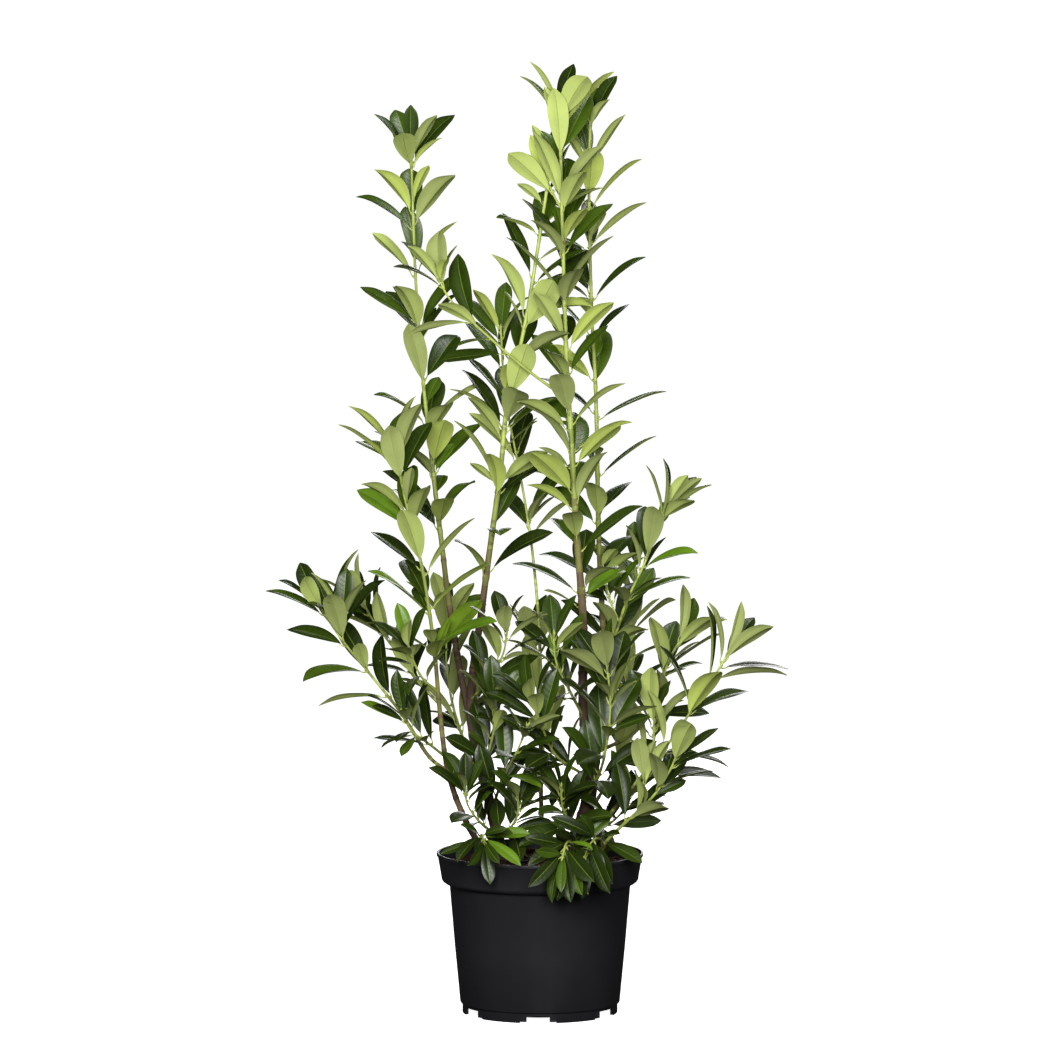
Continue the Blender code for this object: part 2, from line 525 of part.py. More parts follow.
class Mass:
    """A shoot with its side twigs and leaves, grown so that it keeps clear of all that stands."""

    def __init__(self, name, paths, standing):
        (self.stem, start, end, self.size, self.whorl, self.gap, self.low, self.tip,
         self.twigs, self.twig_length, self.seed) = FOLIAGE[name]
        self.name, self.standing, self.steps = name, standing, 0
        self.path = paths[self.stem]
        self.start, self.end = start * self.path.length, end * self.path.length
        self.last = end == 1.0
        self.radius = girth(self.stem, self.path)
        self.tubes, self.leaves = [], []
        self.reach = self.size * REACH + (self.twig_length if self.twigs else 0)
        self.lines = [self.path]
        self.first = self.start + (0.0 if self.start else BARE_FOOT)

    def shoot_mesh(self):
        """The shoot in the middle of the mass, which starts just clear of the limb below it."""
        start = self.start + (CLEAR if self.start else 0)
        if self.radius(self.start) > THICK_SHOOT:
            return tube_mesh(self.path, start, self.end, self.radius, SHOOT_SIDES)
        return tube_mesh(self.path, start, self.end, lambda s: TWIG_SWELL * self.radius(s), TWIG_SIDES)

    def stand(self):
        """Sets up the shoot itself, and its long twig, before anything is grown on any of them."""
        self.standing.add(shape_of(self.shoot_mesh()), self.name + "/stem")
        if self.name in LONG_TWIGS:
            share, points = LONG_TWIGS[self.name]
            self.long_twig = self.twig(self.path, share * self.path.length, LONG_TWIG_FOOT, points)

    def own(self, owner):
        return owner.startswith(self.name + "/")

    def place(self, path, s, turn, lean, radius, size, rng, by=0.0):
        """Tries one leaf, turned and leaned a little differently each time, and keeps the first that is free."""
        for go in range(LEAF_TRIES):
            leaf = leaf_on(path, s, turn + rng.normal(0, TURN_STRAY + TURN_MORE * go),
                           lean + rng.normal(0, LEAN_STRAY + LEAN_MORE * go), radius,
                           size * (1 - TRY_SHRINK * go), rng)
            if by:
                droop(leaf, by * rng.uniform(*DROOP_SPREAD) * s / path.length)
            if self.fits(leaf, path):
                self.leaves.append(leaf)
                self.standing.add(leaf_solid(leaf), self.name + "/leaf")
                return True
        return False

    def fits(self, leaf, path):
        tip = leaf["base"] + leaf["dir"] * leaf["length"]
        if min(line.distance(tip) for line in self.lines) > self.reach:
            return False
        past = math.hypot(tip[0], tip[1]) - RIM_RADIUS
        hangs = past > (DROOP_PAST_RIM if self.stem in DROOPING else HANG_PAST_RIM)
        if tip[2] < (HANG_FLOOR if hangs else OVER_POT):
            return False
        sine = max(float(np.linalg.norm(np.cross(leaf["dir"], path.along(path.length / 2)))), 0.25)
        skip = min((1.5 * leaf["radius"] + 0.0022) / sine, 0.3 * leaf["length"])
        others = {o for o in set(self.standing.owner) if self.own(o)}
        if not self.standing.clear(leaf_solid(leaf, spare=LEAF_CLEAR, skip=skip)):
            return False
        return self.standing.clear(leaf_solid(leaf, spare=LEAF_CLEAR), others)

    def step(self, grow):
        """Runs one step of growth with its own random numbers."""
        self.steps += 1
        return grow(np.random.default_rng((self.steps, self.seed)))

    def clothe(self, path, start, end, radius, size, low, tip, whorl, gap, crowned, rng=None):
        """Whorls of leaves along a shoot, and a crown of them at its tip."""
        by = DROOPING.get(self.stem, 0.0)
        last = end - (CROWN_LENGTH if crowned else PLAIN_END)

        def whorl_from(s, rng):
            s += gap * rng.uniform(*GAP_SPREAD)
            turn = rng.uniform(0, 2 * math.pi)
            for k in range(max(1, whorl + int(rng.integers(-1, 2)))):
                if s < last:
                    lean = low + (tip - low) * (s - start) / max(end - start, 1e-6)
                    self.place(path, s, turn, lean + rng.normal(0, LEAN_WANDER), radius(s), size, rng, by)
                turn += GOLDEN
                s += rng.uniform(*WHORL_STEP)
            return s

        def crown(rng):
            turn = rng.uniform(0, 2 * math.pi)
            for k in range(CROWN_LEAVES if whorl > 2 else SMALL_CROWN):
                self.place(path, end - CROWN_LENGTH + CROWN_STEP * k, turn,
                           tip * (CROWN_LEAN - CROWN_LEAN_STEP * k), radius(end),
                           size * (1 - CROWN_SHRINK * k), rng, by * CROWN_DROOP)
                turn += GOLDEN

        run = self.step if rng is None else lambda grow: grow(rng)
        s = start - 0.4 * gap
        while s < last:
            s = run(lambda rng: whorl_from(s, rng))
        if crowned:
            run(crown)

    def twig(self, path, s, radius, points):
        """The bare line of a side twig from a shoot through some points, kept when it is clear."""
        line = Path((tuple(path.at(s)),) + tuple(tuple(p) for p in points), 0.005)
        probe = tube_mesh(line, TWIG_FOOT, line.length, lambda s: TWIG_ROOM, TWIG_SIDES)
        if not self.standing.clear(shape_of(probe)) or line.at(line.length)[2] < TWIG_FLOOR:
            return None

        def thin(s):
            return TWIG_TIP + (radius - TWIG_TIP) * (1 - min(s / line.length, 1))

        self.tubes.append((line, thin))
        self.standing.add(shape_of(twig_mesh(line, thin)), self.name + "/twig")
        self.lines.append(line)
        return line, thin

    def rising(self, s, turn, lean, length):
        """Points of a side twig that leaves the shoot at a lean and turns up towards its tip."""
        root = self.path.at(s)
        d = unit(math.cos(lean) * self.path.along(s) + math.sin(lean) * self.path.out(s, turn))
        rise = np.array([0, 0, 1.0]) * length
        return (root + 0.35 * length * d, root + 0.7 * length * d + 0.04 * rise,
                root + length * d + 0.13 * rise)

    def sprig(self, k, rng):
        """One side twig and its leaves."""
        for go in range(TWIG_TRIES):
            s = self.first + (self.end - self.first) * (k + rng.uniform(*TWIG_SPOT)) / self.twigs * TWIG_SHARE
            points = self.rising(s, rng.uniform(0, 2 * math.pi), math.radians(rng.uniform(*TWIG_LEAN)),
                                 self.twig_length * rng.uniform(*TWIG_SPREAD))
            made = self.twig(self.path, s, min(TWIG_THICKEST, 0.8 * self.radius(s)), points)
            if made:
                self.clothe_twig(*made, SPRIG, rng)
                return

    def clothe_twig(self, line, thin, rule, rng=None):
        first, share, low, tip, whorl, gap = rule
        self.clothe(line, first * line.length, line.length, thin, self.size * share, low, tip, whorl, gap,
                    True, rng)

    def grow(self):
        if self.name in LONG_TWIGS:
            self.clothe_twig(*self.long_twig, LONG_SPRIG)
        for k in range(self.twigs):
            self.step(lambda rng: self.sprig(k, rng))
        self.clothe(self.path, self.first, self.end, self.radius, self.size, self.low, self.tip,
                    self.whorl, self.gap, self.last)
        return self


def grow_plant():
    """Paths of the stems and the grown masses."""
    paths = all_paths()
    standing = Standing()
    for name in BARE:
        standing.add(shape_of(limb_mesh(name, paths[name])), "limb/" + name)
    standing.add(pot_guard(), "pot")
    masses = [Mass(name, paths, standing) for name in FOLIAGE]
    for mass in masses:
        mass.stand()
    return paths, [mass.grow() for mass in masses]


# ------------------------------------------------------------------ pot and compost
def outer_profile():
    """From the rim down the band, over the shoulder and down the body to the base ring."""
    shoulder = POT_HEIGHT - BAND_HEIGHT
    rim = POT_HEIGHT - RIM_BEAD
    rows = [(RIM_RADIUS - EDGE, POT_HEIGHT), (RIM_RADIUS, POT_HEIGHT - EDGE),
            (RIM_RADIUS, rim + EDGE / 2), (RIM_RADIUS - BEAD_STEP, rim - EDGE)]
    for k in (3, 2, 1):
        a = math.pi / 2 * k / 3
        rows.append((BODY_TOP_RADIUS + (BAND_FOOT_RADIUS - BODY_TOP_RADIUS) * math.sin(a),
                     shoulder - SHOULDER_DROP * math.cos(a)))
    return rows + [(BODY_TOP_RADIUS, shoulder - SHOULDER_DROP),
                   (BODY_FOOT_RADIUS, BASE_RING_HEIGHT + EDGE), (BASE_RING_RADIUS, BASE_RING_HEIGHT)]


def inner_profile(spare=0.0):
    """From the floor up to the rim, drawn in by the wall and by spare."""
    shoulder = POT_HEIGHT - BAND_HEIGHT
    ledge = shoulder - SHOULDER_DROP + spare
    w = WALL + spare
    return [(BODY_FOOT_RADIUS - w, FLOOR_UNDERSIDE + WALL + spare),
            (BODY_TOP_RADIUS - w, ledge + 0.6 * WALL),
            (BAND_FOOT_RADIUS - w - CORNER_CUT, ledge + 1.4 * WALL),
            (BAND_FOOT_RADIUS - w, shoulder + CORNER_CUT / 2),
            (RIM_RADIUS - BEAD_STEP - w, POT_HEIGHT - RIM_BEAD)]


def pot_profile():
    """Up the inside from the floor, over the rim, down the outside and along the raised underside."""
    rows = [(0, FLOOR_UNDERSIDE + WALL)] + inner_profile() + [(RIM_RADIUS - WALL - EDGE / 2, POT_HEIGHT)]
    rows += outer_profile()
    return rows + [(BASE_RING_RADIUS - EDGE / 2, 0), (BASE_RING_RADIUS - WALL, 0),
                   (BASE_RING_RADIUS - WALL, FLOOR_UNDERSIDE), (HUB_RADIUS + EDGE, FLOOR_UNDERSIDE),
                   (HUB_RADIUS, 0), (0, 0)]


def pot_guard():
    """A plain tub a little larger than the filled pot, which leaves keep out of."""
    rows = [(0, SOIL), (RIM_RADIUS - GUARD_INSET, SOIL), (RIM_RADIUS - GUARD_INSET, POT_HEIGHT + LEAF_ROOM),
            (RIM_RADIUS + LEAF_ROOM, POT_HEIGHT + LEAF_ROOM)]
    rows += [(r + LEAF_ROOM, z) for r, z in outer_profile()] + [(0, 0)]
    tub = helper(turned("pot_guard", rows, GUARD_STEPS))
    mesh = evaluated_mesh(tub)
    remove(tub)
    return shape_of(mesh)


def compost_profile():
    """A flat bed that falls a little to the wall, and the shape of the pot's inside below it."""
    side = inner_profile(CLEAR)
    top = SOIL - BED_EDGE_DROP
    (r0, z0), (r1, z1) = side[-1], side[-2]
    edge = (r1 + (r0 - r1) * (top - z1) / (z0 - z1), top)
    bed = [(0, SOIL), (BED_FLAT, SOIL), (BED_BEND, SOIL - BED_BEND_DROP), edge]
    return bed + side[-2::-1] + [(0, side[0][1])]


# ------------------------------------------------------------------ solids in Blender
def clear_scene():
    for obj in list(bpy.data.objects):
        bpy.data.objects.remove(obj, do_unlink=True)


def finish_of(name):
    found = bpy.data.materials.get(name)
    if not found:
        colour, roughness = FINISHES[name]
        found = bpy.data.materials.new(name)
        found.use_nodes = True
        shader = found.node_tree.nodes["Principled BSDF"]
        shader.inputs["Base Color"].default_value = (*colour, 1)
        shader.inputs["Roughness"].default_value = roughness
        shader.inputs["Metallic"].default_value = 0.0
    return found


def piece(obj, finish, root):
    """One finished sub-part: in the plant's own collection, under its root, in its finish."""
    collection_of("potted_cherry_laurel").objects.link(obj)
    obj.data.materials.clear()
    obj.data.materials.append(finish_of(finish))
    obj.parent = root
    return obj


def leaf_mesh(leaf):
    points, faces = leaf_solid(leaf)
    mesh = bpy.data.meshes.new("leaf")
    mesh.from_pydata([tuple(float(c) for c in p) for p in points], [], faces)
    return mesh


def combine(obj, meshes, operation, solver):
    """Applies one Boolean of obj with all the meshes, and removes them."""
    group = bpy.data.collections.new("joined")
    bpy.context.scene.collection.children.link(group)
    for mesh in meshes:
        group.objects.link(bpy.data.objects.new("joined", mesh))
    step = obj.modifiers.new("join", "BOOLEAN")
    step.operation, step.solver = operation, solver
    step.operand_type, step.collection = "COLLECTION", group
    made = evaluated_mesh(obj)
    obj.modifiers.clear()
    obj.data = made
    for tool in list(group.objects):
        remove(tool)
    bpy.data.collections.remove(group)


def main_body(mesh):
    """Keeps only the largest closed body: scrap is dropped and sealed hollows are filled."""
    work = bmesh.new()
    work.from_mesh(mesh)
    bodies, seen = [], set()
    for first in work.faces:
        if first in seen:
            continue
        body, edge = {first}, [first]
        while edge:
            face = edge.pop()
            near = {other for line in face.edges for other in line.link_faces} - body
            body |= near
            edge += near
        seen |= body
        bodies.append(body)
    volumes = [sum(f.calc_center_median().dot(f.normal) * f.calc_area() for f in body) for body in bodies]
    best = volumes.index(max(volumes))
    scrap = [face for k, body in enumerate(bodies) if k != best for face in body]
    bmesh.ops.delete(work, geom=scrap, context="FACES")
    work.to_mesh(mesh)
    work.free()


def cutter(mesh):
    return helper(bpy.data.objects.new("cutter", mesh))


def notch_cutter(turn):
    """A block through the base ring, a little narrower at its top."""
    mesh = bpy.data.meshes.new("notch")
    work = bmesh.new()
    bmesh.ops.create_cube(work, size=1)
    for v in work.verts:
        width = NOTCH_WIDTH - (2 * NOTCH_SLANT if v.co.z > 0 else 0)
        v.co.x, v.co.y = BASE_RING_RADIUS + NOTCH_DEPTH * v.co.x, width * v.co.y
        v.co.z = NOTCH_HEIGHT if v.co.z > 0 else -CUT_PAST
    work.to_mesh(mesh)
    work.free()
    mesh.transform(Matrix.Rotation(turn, 4, "Z"))
    return cutter(mesh)


def drain_cutter(turn):
    mesh = bpy.data.meshes.new("drain")
    work = bmesh.new()
    bmesh.ops.create_cone(work, cap_ends=True, segments=12, radius1=DRAIN_RADIUS, radius2=DRAIN_RADIUS,
                          depth=DRAIN_DEPTH)
    work.to_mesh(mesh)
    work.free()
    middle = Matrix.Translation((DRAIN_RING, 0, FLOOR_UNDERSIDE + WALL / 2))
    mesh.transform(Matrix.Rotation(turn, 4, "Z") @ middle)
    return cutter(mesh)


def build_pot(root):
    pot = piece(turned("pot", pot_profile(), POT_STEPS), "pot_plastic", root)
    for k in range(NOTCHES):
        turn = math.radians(-90 + NOTCH_TURN + 360 / NOTCHES * k)
        for tool in (notch_cutter(turn), drain_cutter(turn)):
            cut = pot.modifiers.new("cut", "BOOLEAN")
            cut.object = tool
    piece(turned("compost", compost_profile(), POT_STEPS), "compost", root)


def build_limb(name, paths, root):
    mesh = limb_mesh(name, paths[name])
    mesh.shade_smooth()
    mesh.set_sharp_from_angle(angle=math.radians(60))
    obj = piece(bpy.data.objects.new(LIMB_NAMES.get(name, "bough_" + name), mesh), "bark", root)
    parent = STEMS[name][0]
    if parent:
        seat = obj.modifiers.new("seat", "BOOLEAN")
        seat.object = cutter(limb_mesh(parent, paths[parent], SEAT_CLEAR))


def build_mass(mass, paths, root):
    """The shoot, twigs and leaves of a mass made one closed body, cut clear of the limb that it grows from."""
    obj = piece(bpy.data.objects.new("foliage_" + mass.name, mass.shoot_mesh()), "leaves", root)
    combine(obj, [twig_mesh(line, thin) for line, thin in mass.tubes]
            + [leaf_mesh(leaf) for leaf in mass.leaves], "UNION", "MANIFOLD")
    parent = STEMS[mass.stem][0]
    if mass.start == 0:
        combine(obj, [limb_mesh(parent, paths[parent], SEAT_CLEAR)], "DIFFERENCE", "MANIFOLD")
    main_body(obj.data)


def main():
    clear_scene()
    root = bpy.data.objects.new("laurel_root", None)
    collection_of("potted_cherry_laurel").objects.link(root)
    build_pot(root)
    paths, masses = grow_plant()
    for name in BARE:
        build_limb(name, paths, root)
    for mass in masses:
        build_mass(mass, paths, root)
    print(sum(len(mass.leaves) for mass in masses), "leaves")


if __name__ == "__main__":
    main()
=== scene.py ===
"""A cherry laurel hedging plant in a ten-litre nursery pot: its finished look, laid out as an add-on.

The plant grows here by the same seeded rule as the solids do, from the same named sizes, so each
shoot, twig and leaf lies where its solid lies. The bark gets its relief, each leaf its curved blade,
rib and stalk, the pot its moulded edges and the compost its chips of bark. Metres, +Z up.
"""

import functools
import json
import math

import bmesh
import bpy
import numpy as np
from bpy.props import FloatProperty, FloatVectorProperty, IntProperty, PointerProperty
from mathutils import Matrix, Vector, noise
from mathutils.bvhtree import BVHTree

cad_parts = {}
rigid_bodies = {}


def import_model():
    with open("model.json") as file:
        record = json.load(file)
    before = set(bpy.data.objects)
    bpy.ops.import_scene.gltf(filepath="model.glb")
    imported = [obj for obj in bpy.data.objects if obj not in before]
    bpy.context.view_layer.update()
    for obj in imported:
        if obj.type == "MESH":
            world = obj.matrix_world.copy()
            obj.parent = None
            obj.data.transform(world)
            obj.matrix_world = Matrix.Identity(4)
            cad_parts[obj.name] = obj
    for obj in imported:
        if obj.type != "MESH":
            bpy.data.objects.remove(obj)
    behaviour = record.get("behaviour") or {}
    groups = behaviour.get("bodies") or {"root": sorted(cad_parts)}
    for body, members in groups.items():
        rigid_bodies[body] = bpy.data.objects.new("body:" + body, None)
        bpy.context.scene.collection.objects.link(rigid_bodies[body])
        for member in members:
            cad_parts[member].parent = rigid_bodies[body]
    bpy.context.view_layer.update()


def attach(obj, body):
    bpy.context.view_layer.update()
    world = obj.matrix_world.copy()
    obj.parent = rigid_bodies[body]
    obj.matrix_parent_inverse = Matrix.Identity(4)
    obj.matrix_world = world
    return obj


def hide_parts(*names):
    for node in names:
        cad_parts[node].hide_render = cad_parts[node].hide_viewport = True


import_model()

bl_info = {
    "name": "Potted cherry laurel",
    "version": (1, 0, 0),
    "blender": (4, 5, 0),
    "location": "View3D > Sidebar > Laurel",
    "description": "Grows a leafy evergreen hedging plant in a black nursery pot",
    "category": "Add Mesh",
}

# ------------------------------------------------------------------ named sizes (metres)
POT_HEIGHT = 0.218
RIM_RADIUS = 0.140
RIM_BEAD = 0.004
BAND_FOOT_RADIUS = 0.1335
BAND_HEIGHT = 0.034
SHOULDER_DROP = 0.0078
BODY_TOP_RADIUS = 0.1225
BODY_FOOT_RADIUS = 0.108
BASE_RING_RADIUS = 0.105
BASE_RING_HEIGHT = 0.013
WALL = 0.0024
EDGE = 0.0012
BEAD_STEP = 0.0016
CORNER_CUT = 0.004
FLOOR_UNDERSIDE = 0.0112
HUB_RADIUS = 0.030
NOTCHES = 6
NOTCH_WIDTH = 0.031
NOTCH_HEIGHT = 0.0103
NOTCH_TURN = -1.5
DRAIN_RADIUS = 0.007
DRAIN_RING = 0.082
DRAIN_DEPTH = 0.016
CUT_PAST = 0.004
SOIL = 0.205
BED_EDGE_DROP = 0.004
CLEAR = 0.0003
LEAF_ROOM = 0.002
GUARD_INSET = 0.007
GUARD_STEPS = 24

# A stem's rings stand as far apart as its bends let them, from the first of these gaps down to the last.
RING_GAPS = (0.050, 0.036, 0.026, 0.018, 0.012, 0.008)
RING_SLACK = 0.0004
TRUNK_SIDES, BOUGH_SIDES, SHOOT_SIDES, TWIG_SIDES = 8, 6, 5, 3
THICK_SHOOT = 0.003
GIRTH_FALL = 1.8
TWIG_SWELL, TWIG_TIP = 1.35, 0.0012
TWIG_FOOT, TWIG_ROOM, TWIG_FLOOR = 0.010, 0.003, 0.222
BARE_FOOT = 0.021
FLARE_SHARE, FLARE_FADE, FLARE_RINGS = 0.30, 0.014, (0.0025, 0.008, 0.020)

# Leaves: as thick as this share of the length, widest at this share of it, and each turned by this from
# the last one.
LEAF_THICK = 0.021
LEAF_WIDEST = 0.58
LEAF_SPINE, LEAF_HALF, EDGE_RISE = 0.46, 0.56, 0.95
LEAF_ROOT = 0.45
GOLDEN = math.radians(137.5)
# The least and the most of what differs from leaf to leaf: its length as a share of its mass's, then its
# width, its bend along the length and its fold across it as shares of its own length or half width.
LEAF_SPREAD = (0.92, 1.16)
LEAF_SLIM = (0.27, 0.37)
LEAF_BEND = (0.02, 0.07)
LEAF_FOLD = (0.10, 0.35)
LEAF_ROLL = 15
# A leaf's face looks along its stem, and on a level stem more to the sky.
SKY_PULL, SKY_LEAST = 0.9, 0.15
REACH = 1.25
LEAF_CLEAR = 0.0009
# A leaf's foot may touch its own stem, out to this many of its radii and this much more, both over the sine
# of its lean, and at most to this share of the leaf.
FOOT_GIRTHS, FOOT_SPARE, LEAST_SINE, FOOT_MOST = 1.5, 0.0022, 0.25, 0.3
LEAF_TRIES = 7
# How far a leaf's turn (radians) and lean (degrees) stray on its first try, what each new try adds to that,
# and how much shorter each new try makes it.
TURN_STRAY, TURN_MORE = 0.12, 0.10
LEAN_STRAY, LEAN_MORE, LEAN_WANDER = 4, 2, 7
TRY_SHRINK = 0.03
# A whorl's gap strays by these shares, and its leaves stand this far apart along the stem.
GAP_SPREAD, WHORL_STEP = (0.7, 1.3), (0.0055, 0.0085)
# The crown at a tip: its leaves from the lowest up, each one more upright and shorter than the last.
CROWN_LEAVES, SMALL_CROWN = 5, 4
CROWN_LENGTH, CROWN_STEP = 0.020, 0.0038
CROWN_LEAN, CROWN_LEAN_STEP, CROWN_SHRINK, CROWN_DROOP = 1.55, 0.20, 0.05, 0.6
PLAIN_END = 0.004
# Side twigs: where along its share of the shoot one starts, its lean in degrees, its length and the
# thickest that its foot may be.
TWIG_TRIES, TWIG_SHARE, TWIG_SPOT = 6, 0.86, (0.15, 0.85)
TWIG_LEAN, TWIG_SPREAD, TWIG_THICKEST = (38, 56), (0.75, 1.3), 0.0019
# Its points: how far out along the lean and how far up, as shares of its length.
TWIG_RISE = ((0.35, 0.0), (0.7, 0.04), (1.0, 0.13))
# How a side twig and the long one are clothed: first leaf as a share of the length, leaf size as a share
# of the mass's, lean at the foot and at the tip, leaves in a whorl and the gap between whorls.
SPRIG = (0.50, 0.90, 50, 26, 2, 0.014)
LONG_SPRIG = (0.30, 0.86, 46, 24, 2, 0.042)
LONG_TWIG_FOOT = 0.0022
# A leaf over the pot ends above the rim. Past the rim by this much it may hang, and sooner on a stem that
# droops.
HANG_PAST_RIM, DROOP_PAST_RIM = 0.025, 0.010
DROOP_SPREAD, HANG_SLIM = (0.6, 1.4), 0.85
OVER_POT, HANG_FLOOR = POT_HEIGHT - 0.004, 0.120

# ------------------------------------------------------------------ sizes that only the finished look has
SHARP = math.radians(50)

# Pot: how far in and out the notches are cut, the low step beside each one, and the round corners.
NOTCH_IN, NOTCH_OUT = 0.088, 0.118
FOOT_STEP, FOOT_LIFT, FOOT_LAP = 0.009, 0.0018, 0.001
BEAD_FOOT, BEAD_ROLL, LIP_RADIUS = 0.0017, 0.0014, 0.0008
BAND_DRAFT, BODY_DRAFT, ROLL_TURN = 0.0002, 0.0001, (4, 86)
RING_ROUND, RING_STEP = 0.0006, (0.0022, 0.0011, 0.0004, -0.0008)
HUB_DRAFT = 0.0015

# Compost: its mesh, its flat middle, its fall over the last stretch to the wall, and its gap there.
BED_RINGS, BED_STEPS, BED_CLOSE = 52, 120, 0.995
BED_MIDDLE, BED_SIDE, BED_FALL = 0.100, 0.030, 0.0030
BED_LIP, BED_LIP_GAP, BED_WALL_GAP = 0.0050, 0.0002, 0.0004
# Chips: where they may lie, how far off the stems, the longest one, and what differs from one to the next.
CHIP_FIELD, CHIP_WALL, CHIP_OFF_STEM, CHIP_LONGEST = 0.124, 0.129, 0.013, 0.020
CHIP_SPREAD, CHIP_ROUGH, CHIP_TILT, CHIP_RISE = 0.38, 0.30, 0.30, 0.25
CHIP_WIDTH, CHIP_DEPTH, CHIP_MIX = (0.18, 0.40), (0.09, 0.20), (0.5, 0.3, 0.2)

# Stems: thin high ones are green and thick low ones brown; sides of a trunk, a bough, a shoot and a twig.
STEM_GREEN, STEM_BROWN = 0.0014, 0.0046
BROWN_BELOW, GREEN_ABOVE = 0.42, 0.86
SLOT_STRAY = 0.22
TRUNK_ROUND, BOUGH_ROUND, SHOOT_ROUND, TWIG_ROUND = 22, 14, 10, 8
SHOOT_RING, LIMB_LAP, SHOOT_LAP = 0.005, 0.0006, 0.001
SHOOT_RELIEF, TWIG_RELIEF, FULL_RELIEF = 0.4, 0.3, 0.005
# Furrows: how often they change round the stem and along it, and their share of the relief.
FURROWS = ((2.2, 55, 1.0), (5, 170, 0.5))
KNOT_LENGTH, KNOT_SWELL = 0.0022, 0.16
KNOTS_FROM, KNOT_GAP = 0.032, (0.016, 0.034)

# Leaves: the blade's columns and rows, its outline, and the arch, curl, sway, twist and wave of it.
COLUMNS = (-1.0, -0.86, -0.62, -0.32, -0.034, 0.034, 0.32, 0.62, 0.86, 1.0)
RIB_COLUMN, RIB_EDGE = 4, 0.1
ROWS, ROW_EASE = 21, 0.35
FOOT_TAPER, TIP_TAPER = 0.88, 0.60
TIP_FROM, TIP_DRAWN, LEAST_HALF = 0.86, 0.40, 0.0005
CURL_FROM, CURL = 0.72, (0.0, 0.035)
SWAY, TWIST, TWIST_AT = 0.012, 0.16, 0.35
WAVE, WAVE_RATE, WAVE_SHIFT = (0.01, 0.05), 9, 2.2
SWELL, RIB_SUNK, RIB_PROUD, RIB_FADE = 0.07, 0.00035, 0.0007, 0.35
# Stalks: radius on a leaf of the usual length, its taper, how far it runs under the blade and how it sags.
USUAL_LEAF, SMALL_LEAF, SHORT_LEAF = 0.09, 0.62, 0.7
STALK_RADIUS, STALK_TAPER, STALK_FLAT = 0.00105, (1.35, 0.75), 0.85
STALK_UNDER, STALK_SUNK, STALK_SAG = 0.002, 0.0004, 0.0016
STALK_RINGS, STALK_SIDES = 5, 6
# Buds: shares of the length and the radius at each ring, then lengths and radii in a leaf's crook and at
# a shoot's tip.
BUD_RINGS, BUD_SIDES = ((0.0, 0.55), (0.3, 1.0), (0.65, 0.75), (1.0, 0.06)), 6
CROOK_BUD, END_BUD, SIDE_BUD = (0.0030, 0.0048), (0.009, 0.014), (0.006, 0.012)
THIN_BUD, THICK_BUD, BUD_RISE, BUD_LEAN = 0.0010, 0.0019, 0.0022, 0.55

# Light: where it stands, what it faces, its width and height, and its share of the key light.
LIGHTS = {
    "key_light": ((-0.55, -2.7, 1.60), (0, 0, 0.95), (1.2, 1.2), 1.0),
    "front_light": ((0.45, -2.7, 1.10), (0, 0, 0.85), (0.8, 0.9), 0.46),
    "top_light": ((1.10, 0.35, 3.10), (0, 0, 0.80), (0.9, 0.9), 0.30),
    "back_light": ((0.50, 2.8, 1.20), (0, 0, 0.70), (1.4, 1.4), 0.30),
}
CAMERA_SIDE = -0.0203
FLOOR_SIZE, FLOOR_GLOW, FLOOR_DIM = 240.0, (0.0, 0.97), 0.05
# Between these radii from the pot's axis the floor's glow fades in. Inside them the glow is left out, which
# paints a shadow under the pot.
POT_SHADOW_RADII = (0.050, 0.058)
SKY_SHEEN = 0.012

# How many leaves of each upper colour a mass has: deep, dark, mid, fresh, bright. Each share gains with the
# height above one mark and with the depth below another, and small leaves are the young ones.
TONES = {
    "usual": (5, 6, 4, 0.6, 0),
    "front_left": (1, 2, 3, 4, 4),
    "pot_left": (3, 5, 3, 1, 0),
    "left_tall_upper": (3, 5, 5, 1, 0),
    "right_top": (3, 5, 5, 1, 0),
    "back_right_top": (3, 5, 5, 1, 0),
    "middle_upper": (3, 5, 5, 1, 0),
}
HIGH_FROM, HIGH_OVER, HIGH_GAIN = 0.55, 0.65, (-0.6, -0.2, 0.6, 1.5, 0)
# Leaves low down take deeper, darker colours. This is partly for their age and partly painted shade under
# the leaves above.
DEEP_FROM, DEEP_OVER, DEEP_AGE_AND_SHADE_GAIN = 0.62, 0.34, (2.6, 0.5, -0.6, -0.6, 0)
YOUNG = (0.5, 0.8, 1.3, 2.0, 1.0)
# How often each underside, grey, pale or fresh, goes with each upper colour.
UNDERSIDES = ((0.65, 0.35, 0.0), (0.35, 0.60, 0.05), (0.10, 0.70, 0.20), (0.0, 0.4, 0.6), (0.0, 0.1, 0.9))
LEAF_SLOTS = ("upper_deep", "upper_dark", "upper_mid", "upper_fresh", "upper_bright",
              "under_grey", "under_pale", "under_fresh", "rib_upper", "rib_under", "leaf_stalk")
LEAF_PIECES = {
    "leaves_left": ("left_tall_upper", "left_tall_lower", "front_left", "left_low", "left_mid",
                    "left_small", "left_base"),
    "leaves_middle": ("middle_upper", "middle_lower", "thin", "centre_a", "centre_b", "middle_base",
                      "middle_side"),
    "leaves_right": ("right_top", "right_middle", "right_lower", "right_low", "right_lowest", "right_mid",
                     "right_rise", "front_right", "right_side"),
    "leaves_back": ("back_right_top", "back_right_middle", "back_right_lower", "back_left", "back_mid",
                    "back_low", "back_far"),
    "leaves_low": ("low_left", "low_right", "low_mid", "right_base", "pot_left", "pot_front", "pot_right"),
}


# ------------------------------------------------------------------ vectors and lines
def unit(v):
    return v / max(float(np.linalg.norm(v)), 1e-12)


def square_to(v, axis):
    """The part of v at right angles to axis, at length one."""
    return unit(v - axis * float(np.dot(v, axis)))


